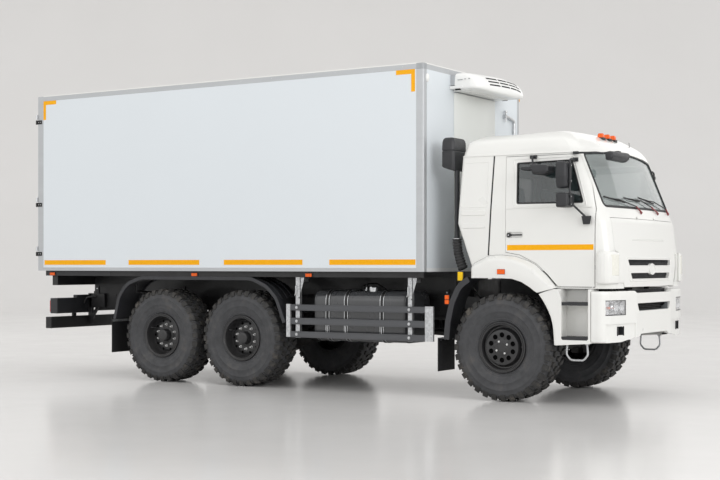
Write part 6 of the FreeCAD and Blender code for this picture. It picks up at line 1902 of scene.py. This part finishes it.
# ------------------------------------------------------------------ roof lamps and aerial
b = Build()
for y in (-0.165, 0.02, 0.205):
    x = 0.775 - 0.10 * y * y
    zb = 3.018
    b.box("plastic", x - 0.046, x + 0.042, y - 0.038, y + 0.038, zb - 0.05, zb + 0.020)
for y in (-0.165, 0.02, 0.205):
    x = 0.775 - 0.10 * y * y
    pts = round_poly([(x - 0.037, y - 0.030), (x + 0.033, y - 0.030), (x + 0.033, y + 0.030), (x - 0.037, y + 0.030)], 0.012, 4)
    rings = [[(px, py, z) for px, py in offset(pts, -d)] for z, d in ((3.028, 0.0), (3.066, 0.001), (3.080, 0.005), (3.087, 0.011), (3.089, 0.018))]
    n = len(rings[0])
    v = [p for r in rings for p in r]
    f = [(a * n + j, a * n + (j + 1) % n, (a + 1) * n + (j + 1) % n, (a + 1) * n + j) for a in range(len(rings) - 1) for j in range(n)]
    f += [tuple(range(n))[::-1], tuple(range((len(rings) - 1) * n, len(rings) * n))]
    b.add(v, f, "orange")
b.done("roof_lamps", "cab", "lamp_lens", bevel=0.003, seg=2)
b = Build()
b.lathe("rubber", [(0.0005, 0), (0.020, 0), (0.016, 0.014), (0.008, 0.028), (0.0005, 0.030)], (0.83, 0.60, 2.915), "z", 20, closed=False)
b.tube("rubber", [(0.83, 0.60, 2.935), (0.822, 0.60, 3.035)], 0.0045, 8, r_end=0.0025)
b.done("aerial", "cab", "black_plastic", angle=40)


# ------------------------------------------------------------------ mirrors
def mirror_set(side, s):
    body = "cab_door_" + side
    Y = lambda y: s * y
    b = Build()

    def head(outline, x0, x1, dome, key="plastic"):
        """A housing whose back bulges forward: rings from the glass side to the crown."""
        rows = []
        e = dome / 0.048
        for t, d in ((0.0, 0.006), (0.08, 0.0), (0.45, 0.001), (0.70, 0.007 * e), (0.86, 0.018 * e), (0.95, 0.032 * e), (1.0, dome)):
            x = x0 + (x1 - x0) * t
            rows.append([(x, Y(y), z) for y, z in offset(outline, -d)])
        n = len(rows[0])
        v = [p for r in rows for p in r]
        f = [(a * n + j, a * n + (j + 1) % n, (a + 1) * n + (j + 1) % n, (a + 1) * n + j) for a in range(len(rows) - 1) for j in range(n)]
        f += [tuple(range(n))[::-1], tuple(range((len(rows) - 1) * n, len(rows) * n))]
        b.add(v, f, key)

    big = round_poly([(1.207, 2.688), (1.417, 2.688), (1.419, 2.52), (1.395, 2.392), (1.235, 2.392), (1.205, 2.52)], 0.045, 6)
    low = round_poly([(1.187, 2.343), (1.417, 2.343), (1.419, 2.200), (1.405, 2.182), (1.202, 2.182), (1.187, 2.200)], 0.030, 6)
    head(big, 0.748, 0.864, 0.034)
    head(low, 0.752, 0.878, 0.020)
    b.tube("plastic", round_path([(0.868, Y(1.130), 2.712), (0.872, Y(1.270), 2.716), (0.876, Y(1.322), 2.700), (0.876, Y(1.322), 2.300), (0.880, Y(1.318), 2.235), (1.005, Y(1.205), 2.085)], 0.035, 6), 0.0115, 14)
    for z in (2.640, 2.470, 2.300, 2.215):
        b.box("plastic", 0.850, 0.893, Y(1.300), Y(1.344), z - 0.016, z + 0.016)
        b.bolt("steel", (0.893, Y(1.322), z), "x", 0.006, 0.005, 6, 1)
    b.box("plastic", 0.840, 0.900, Y(1.140), Y(1.158), 2.692, 2.738)
    wedge = [(0.950, 1.163), (1.050, 1.163), (1.083, 1.212), (0.966, 1.213)]
    v = [(x, Y(y), 1.998) for x, y in [(0.965, 1.163), (1.035, 1.163), (1.060, 1.200), (0.980, 1.202)]] + [(x, Y(y), 2.088) for x, y in wedge]
    b.add(v, [(0, 1, 2, 3), (7, 6, 5, 4), (0, 4, 5, 1), (1, 5, 6, 2), (2, 6, 7, 3), (3, 7, 4, 0)], "plastic")
    if side == "right":
        b.tube("plastic", round_path([(0.362, Y(1.146), 2.766), (0.368, Y(1.190), 2.756), (0.395, Y(1.235), 2.660), (0.400, Y(1.245), 2.620)], 0.03), 0.0115, 12)
        b.box("plastic", 0.322, 0.404, Y(1.134), Y(1.158), 2.744, 2.784)
        b.box("plastic", 0.372, 0.428, Y(1.19), Y(1.255), 2.637, 2.668)
        b.prism("plastic", "XY", [(0.307, Y(1.205)), (0.325, Y(1.175)), (0.470, Y(1.19)), (0.473, Y(1.400)), (0.455, Y(1.413)), (0.325, Y(1.400))], 2.607, 2.634)
        kerb = round_poly([(1.184, 2.664), (1.412, 2.664), (1.413, 2.575), (1.385, 2.552), (1.210, 2.552), (1.183, 2.575)], 0.035, 6)
        head(kerb, 0.458, 0.646, 0.030)
    o = b.done("mirror_housings_" + side, body, "black_plastic", bevel=0.0035, seg=2, angle=40)
    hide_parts("mirror_" + side)
    b = Build()
    for outl, x in ((big, 0.7478), (low, 0.7518)):
        pts = offset(outl, -0.014)
        b.prism("mirror", "YZ", [(Y(y), z) for y, z in pts], x - 0.0022, x + 0.004)
    b.done("mirror_faces_" + side, body, "steel", angle=40)


mirror_set("right", -1)
mirror_set("left", 1)

b = Build()
b.tube("plastic", round_path([(0.846, -1.148, 2.790), (0.95, -1.150, 2.788), (1.160, -1.085, 2.778), (1.205, -1.02, 2.785), (1.222, -0.720, 2.800)], 0.06), 0.011, 14)
b.box("plastic", 0.842, 0.900, -1.158, -1.128, 2.774, 2.806)
b.box("plastic", 1.195, 1.240, -0.82, -0.74, 2.790, 2.817)
rows = []
outl = [(-1.086, 2.735), (-1.070, 2.700), (-0.620, 2.696), (-0.560, 2.716), (-0.524, 2.765), (-0.527, 2.800), (-0.560, 2.814), (-1.000, 2.806), (-1.070, 2.796), (-1.087, 2.775)]
outl = round_poly(outl, 0.015, 3)
for t, d in ((0.0, 0.012), (0.12, 0.003), (0.35, 0.0), (0.65, 0.004), (0.85, 0.012), (0.96, 0.022), (1.0, 0.034)):
    rows.append([(1.188 + 0.086 * t, y, z) for y, z in offset(outl, -d)])
n = len(rows[0])
v = [p for r in rows for p in r]
f = [(a * n + j, a * n + (j + 1) % n, (a + 1) * n + (j + 1) % n, (a + 1) * n + j) for a in range(len(rows) - 1) for j in range(n)]
f += [tuple(range(n))[::-1], tuple(range((len(rows) - 1) * n, len(rows) * n))]
b.add(v, f, "plastic")
lm = b.done("look_down_mirror", "cab", "black_plastic", bevel=0.003, angle=40)
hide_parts("front_mirror")

# ------------------------------------------------------------------ cab interior
b = Build()
dash = [(0.650, 1.580), (0.870, 1.570), (0.870, 1.990), (0.950, 2.020), (1.050, 2.115), (1.010, 2.148), (0.960, 2.160), (0.820, 2.150), (0.730, 2.125), (0.655, 2.020), (0.700, 1.86), (0.700, 1.60)]
pts = [(0.66, 2.025), (0.70, 2.10), (0.80, 2.145), (0.97, 2.155), (1.03, 2.12), (1.03, 2.0), (0.90, 1.96), (0.86, 1.60), (0.72, 1.60), (0.70, 1.90)]
b.prism("interior", "XZ", pts, -0.94, 0.94)
b.box("interior", 0.72, 0.88, -1.04, 1.04, 1.60, 1.94)
n0 = len(b.v)
d = [(0.62, 2.03), (0.66, 2.135), (0.80, 2.185), (0.84, 2.15), (0.80, 2.05)]
b.prism("plastic", "XZ", d, 0.27, 0.77)  # instrument hood
for y in (0.40, 0.52, 0.64):
    b.lathe("plastic", [(0.0005, 0), (0.050, 0), (0.050, 0.008), (0.044, 0.010), (0.044, 0.004), (0.0005, 0.004)], (0.655, y, 2.07), "x", 28, -1, closed=False)
# vent openings as near-black blocks: painted shade inside the vents
for y in (-0.75, -0.45, 0.0, 0.18, 0.86):
    b.box("dark", 0.668, 0.676, y - 0.06, y + 0.06, 1.955, 2.005)
b.box("plastic", 0.655, 0.700, -0.16, 0.12, 1.80, 1.94)
for y in (-0.8, -0.4):
    b.box("interior", 0.700, 0.712, y - 0.15, y + 0.15, 1.72, 1.88)
da = b.done("dashboard_shell", "cab", "interior_plastic", bevel=0.008, seg=3)
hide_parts("dashboard")

b = Build()
ax = Vector((-0.20, 0, 0.17)).normalized()
C = Vector((0.560, 0.520, 2.120))
u = Vector((0, 1, 0))
w = ax.cross(u)
ringp = [C + (u * math.cos(2 * math.pi * k / 64) + w * math.sin(2 * math.pi * k / 64)) * 0.225 for k in range(64)]
b.tube("plastic", ringp, 0.0155, 14, closed=True)
b.tube("plastic", [C - ax * 0.030, C + ax * 0.012], 0.060, 24, r_end=0.048)
for t in (30, 150, 270):
    e = C + (u * math.cos(rad(t)) + w * math.sin(rad(t))) * 0.222
    b.tube("plastic", round_path([C - ax * 0.012, C + (e - C) * 0.5 - ax * 0.014, e], 0.03), 0.012, 10)
b.tube("plastic", [C - ax * 0.03, C - ax * 0.24], 0.028, 18)
b.tube("plastic", [C - ax * 0.10 + u * 0.02, C - ax * 0.10 + u * 0.16 - w * 0.02], 0.008, 8)
sw = b.done("steering_wheel_rim", "cab", "black_plastic", angle=40)
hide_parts("steering_wheel")


def cushion(name, x0, x1, y0, y1, z0, z1, key, crown=0.16, pull=0.035, channels=0, axis="z", tilt=0.0, pivot=(0, 0), nu=28, nv=28, soft=0.35):
    """A stuffed form: crowned faces, sides pulled in between the corners, sewn channels, and piping round its seam."""
    b = Build()
    cx_, cy_, cz_ = (x0 + x1) / 2, (y0 + y1) / 2, (z0 + z1) / 2
    hx, hy, hz = (x1 - x0) / 2, (y1 - y0) / 2, (z1 - z0) / 2
    if axis == "x":
        A, B_, T = hy, hz, hx
    else:
        A, B_, T = hx, hy, hz

    def pt(uu, vv, side):
        au, av = abs(uu), abs(vv)
        px = uu * A * (1 - pull * (1 - av ** 2) * au ** 6)
        py = vv * B_ * (1 - pull * (1 - au ** 2) * av ** 6)
        e = (1 - au ** 5) ** soft * (1 - av ** 5) ** soft
        hgt = T * (crown + (1 - crown) * e * (0.86 + 0.14 * (1 - uu * uu) * (1 - vv * vv)))
        if channels:
            c = abs(math.sin(math.pi * channels * (vv + 1) / 2))
            hgt *= 0.90 + 0.10 * min(1.0, c * 2.4)
        if au >= 0.999 or av >= 0.999:
            hgt = 0.0
        return px, py, hgt * side

    verts, faces = [], []
    us = [math.sin(math.pi / 2 * (2 * i / nu - 1)) for i in range(nu + 1)]
    vs_ = [math.sin(math.pi / 2 * (2 * j / nv - 1)) if not channels else (2 * j / nv - 1) for j in range(nv + 1)]
    for side in (1, -1):
        base = len(verts)
        for a in us:
            for c in vs_:
                px, py, h = pt(a, c, side)
                if axis == "x":
                    verts.append((cx_ + h, cy_ + px, cz_ + py))
                else:
                    verts.append((cx_ + px, cy_ + py, cz_ + h))
        for i in range(nu):
            for j in range(nv):
                q0 = base + i * (nv + 1) + j
                faces.append((q0, q0 + 1, q0 + nv + 2, q0 + nv + 1))
    if tilt:
        ct, st_ = math.cos(rad(tilt)), math.sin(rad(tilt))
        turn = lambda p: (pivot[0] + (p[0] - pivot[0]) * ct + (p[2] - pivot[1]) * st_, p[1], pivot[1] - (p[0] - pivot[0]) * st_ + (p[2] - pivot[1]) * ct)
    else:
        turn = lambda p: p
    b.add([turn(p) for p in verts], faces, key)
    seam = []
    for k in range(96):
        t = 2 * math.pi * k / 96
        c, s_ = math.cos(t), math.sin(t)
        m = max(abs(c), abs(s_))
        uu, vv = c / m, s_ / m
        r = (abs(uu) ** 10 + abs(vv) ** 10) ** (1 / 10)
        uu, vv = uu / r, vv / r
        px, py, _ = pt(uu * 0.998, vv * 0.998, 1)
        seam.append((cx_, cy_ + px, cz_ + py) if axis == "x" else (cx_ + px, cy_ + py, cz_))
    b.tube(key, [turn(p) for p in seam], 0.0045, 6, closed=True)
    return b


pads = []
for y, nm in ((-0.52, "right"), (0.52, "left")):
    b = cushion("seat", -0.170, 0.335, y - 0.245, y + 0.245, 1.835, 1.985, "seat", channels=4)
    o = b.done("seat_cushion_" + nm, "cab", "seat_fabric", angle=70)
    pads.append(o)
    b = cushion("back", -0.150, -0.030, y - 0.235, y + 0.235, 1.93, 2.49, "seat", channels=5, axis="x", tilt=-11.5, pivot=(-0.09, 1.93), soft=0.3)
    o = b.done("seat_back_" + nm, "cab", "seat_fabric", angle=70)
    pads.append(o)
    b = cushion("rest", -0.13, -0.045, y - 0.135, y + 0.135, 2.515, 2.655, "seat", axis="x", tilt=-11.5, pivot=(-0.09, 1.93), nu=18, nv=18)
    o = b.done("head_rest_" + nm, "cab", "seat_fabric", angle=70)
    b = Build()
    b.box("plastic", -0.10, 0.26, y - 0.18, y + 0.18, 1.552, 1.80)
    b.box("plastic", -0.16, 0.32, y - 0.235, y + 0.235, 1.79, 1.845)
    b.box("plastic", -0.215, -0.155, y - 0.20, y + 0.20, 1.84, 2.20)
    for dy in (-0.06, 0.06):
        b.tube("steel", [(-0.200, y + dy, 2.47), (-0.232, y + dy, 2.60)], 0.006, 8)
    for k in range(4):
        b.box("rubber", -0.105, 0.265, y - 0.184, y + 0.184, 1.58 + 0.05 * k, 1.60 + 0.05 * k)
    o = b.done("seat_frame_" + nm, "cab", "interior_plastic", bevel=0.006)
    if nm == "left":
        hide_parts("seats")
b = cushion("bunk", -0.502, -0.338, -1.045, 1.045, 1.955, 2.078, "bunk", channels=7, nv=70)
o = b.done("bunk_mattress", "cab", "seat_fabric", angle=70)
b = Build()
b.prism("interior", "XZ", [(-0.338, 1.552), (-0.338, 1.950), (-0.495, 1.950), (-0.360, 1.552)], -1.0, 1.0)
b.box("interior", -0.10, 0.42, -0.22, 0.22, 1.552, 1.80)
b.box("rubber", -0.33, 1.08, -1.08, 1.08, 1.5505, 1.556)
b.tube("plastic", round_path([(0.30, 0.16, 1.80), (0.32, 0.17, 2.02), (0.30, 0.18, 2.10)], 0.02), 0.009, 10)
b.ball("plastic", (0.30, 0.18, 2.12), 0.024, 16)
b.done("bunk_base_and_console", "cab", "interior_plastic", bevel=0.005)


# ------------------------------------------------------------------ studio
def studio_mat(name, a, b, rough, gloss_var):
    m, nt, bs = nodes_of(name)
    v = coord(nt)
    nt.links.new(ramp(nt, noise(nt, v, 0.25, 3), [(0.3, a), (0.7, b)]), bs.inputs["Base Color"])
    nt.links.new(remap(nt, noise(nt, v, 0.9, 6, 0.7), 0.3, 0.7, rough - gloss_var, rough + gloss_var), bs.inputs["Roughness"])
    bs.inputs["Specular IOR Level"].default_value = 0.5
    return m


floor_mesh = bpy.data.meshes.new("floor")
R1, n1 = 60.0, 14
ground = [(-R1, -60, 0), (R1, -60, 0), (R1, 34, 0), (-R1, 34, 0)]
vs, fs = [], []
path = [(-60.0, -0.0005), (24.0, -0.0005)] + [(24.0 + 14 * math.sin(rad(90 * k / 18)), 14 - 14 * math.cos(rad(90 * k / 18))) for k in range(1, 19)] + [(38.0, 60.0)]
ang = rad(32.05)  # the backdrop's bend runs square to the camera's view
ux, uy = math.cos(ang), math.sin(ang)
wx, wy = -math.sin(ang), math.cos(ang)
for t, z in path:
    for s in (-80.0, 80.0):
        vs.append((ux * s + wx * t, uy * s + wy * t, z))
for k in range(len(path) - 1):
    fs.append((2 * k, 2 * k + 1, 2 * k + 3, 2 * k + 2))
floor_mesh.from_pydata(vs, [], fs)
floor_mesh.polygons.foreach_set("use_smooth", [True] * len(fs))
floor_mesh.materials.append(studio_mat("studio_floor", (0.735, 0.725, 0.716), (0.755, 0.745, 0.736), 0.19, 0.02))
floor_obj = bpy.data.objects.new("studio_floor", floor_mesh)
bpy.context.scene.collection.objects.link(floor_obj)


def area(name, loc, aim, size, size_y, power, color=(1, 1, 1)):
    li = bpy.data.lights.new(name, "AREA")
    li.shape = "RECTANGLE"
    li.size, li.size_y = size, size_y
    li.energy = power
    li.color = color
    o = bpy.data.objects.new(name, li)
    o.location = loc
    o.rotation_euler = (Vector(aim) - Vector(loc)).to_track_quat("-Z", "Y").to_euler()
    bpy.context.scene.collection.objects.link(o)
    return o


area("overhead_softbox", (0.5, -2.0, 9.5), (0.0, 0.0, 1.0), 16.0, 11.0, 70)
area("side_softbox", (-3.0, -15.0, 6.5), (0.0, 0.0, 1.8), 13.0, 6.0, 120)
area("front_softbox", (17.0, -7.0, 6.0), (3.5, 0.0, 1.6), 8.0, 6.0, 620)
area("rear_softbox", (-15.0, 3.0, 7.0), (-3.0, 0.0, 2.0), 8.0, 6.0, 120)
area("far_side_softbox", (3.0, 15.0, 8.0), (0.0, 0.0, 2.0), 14.0, 6.0, 150)

world = bpy.data.worlds.new("studio") if bpy.context.scene.world is None else bpy.context.scene.world
bpy.context.scene.world = world
world.use_nodes = True
bg = world.node_tree.nodes["Background"]
bg.inputs["Color"].default_value = (1.0, 0.996, 0.988, 1)
bg.inputs["Strength"].default_value = 1.03

bpy.context.scene.view_settings.view_transform = "Standard"
cam_data = bpy.data.cameras.new("camera")
cam_data.sensor_width = 36
cam_data.lens = 68.18
cam_data.shift_y = 0.0338
cam_data.clip_end = 300
cam = bpy.data.objects.new("camera", cam_data)
cam.location = (FX + 6.842, -15.172, 1.558)
cam.rotation_euler = (rad(90), 0, rad(32.05))
bpy.context.scene.collection.objects.link(cam)
bpy.context.scene.camera = cam
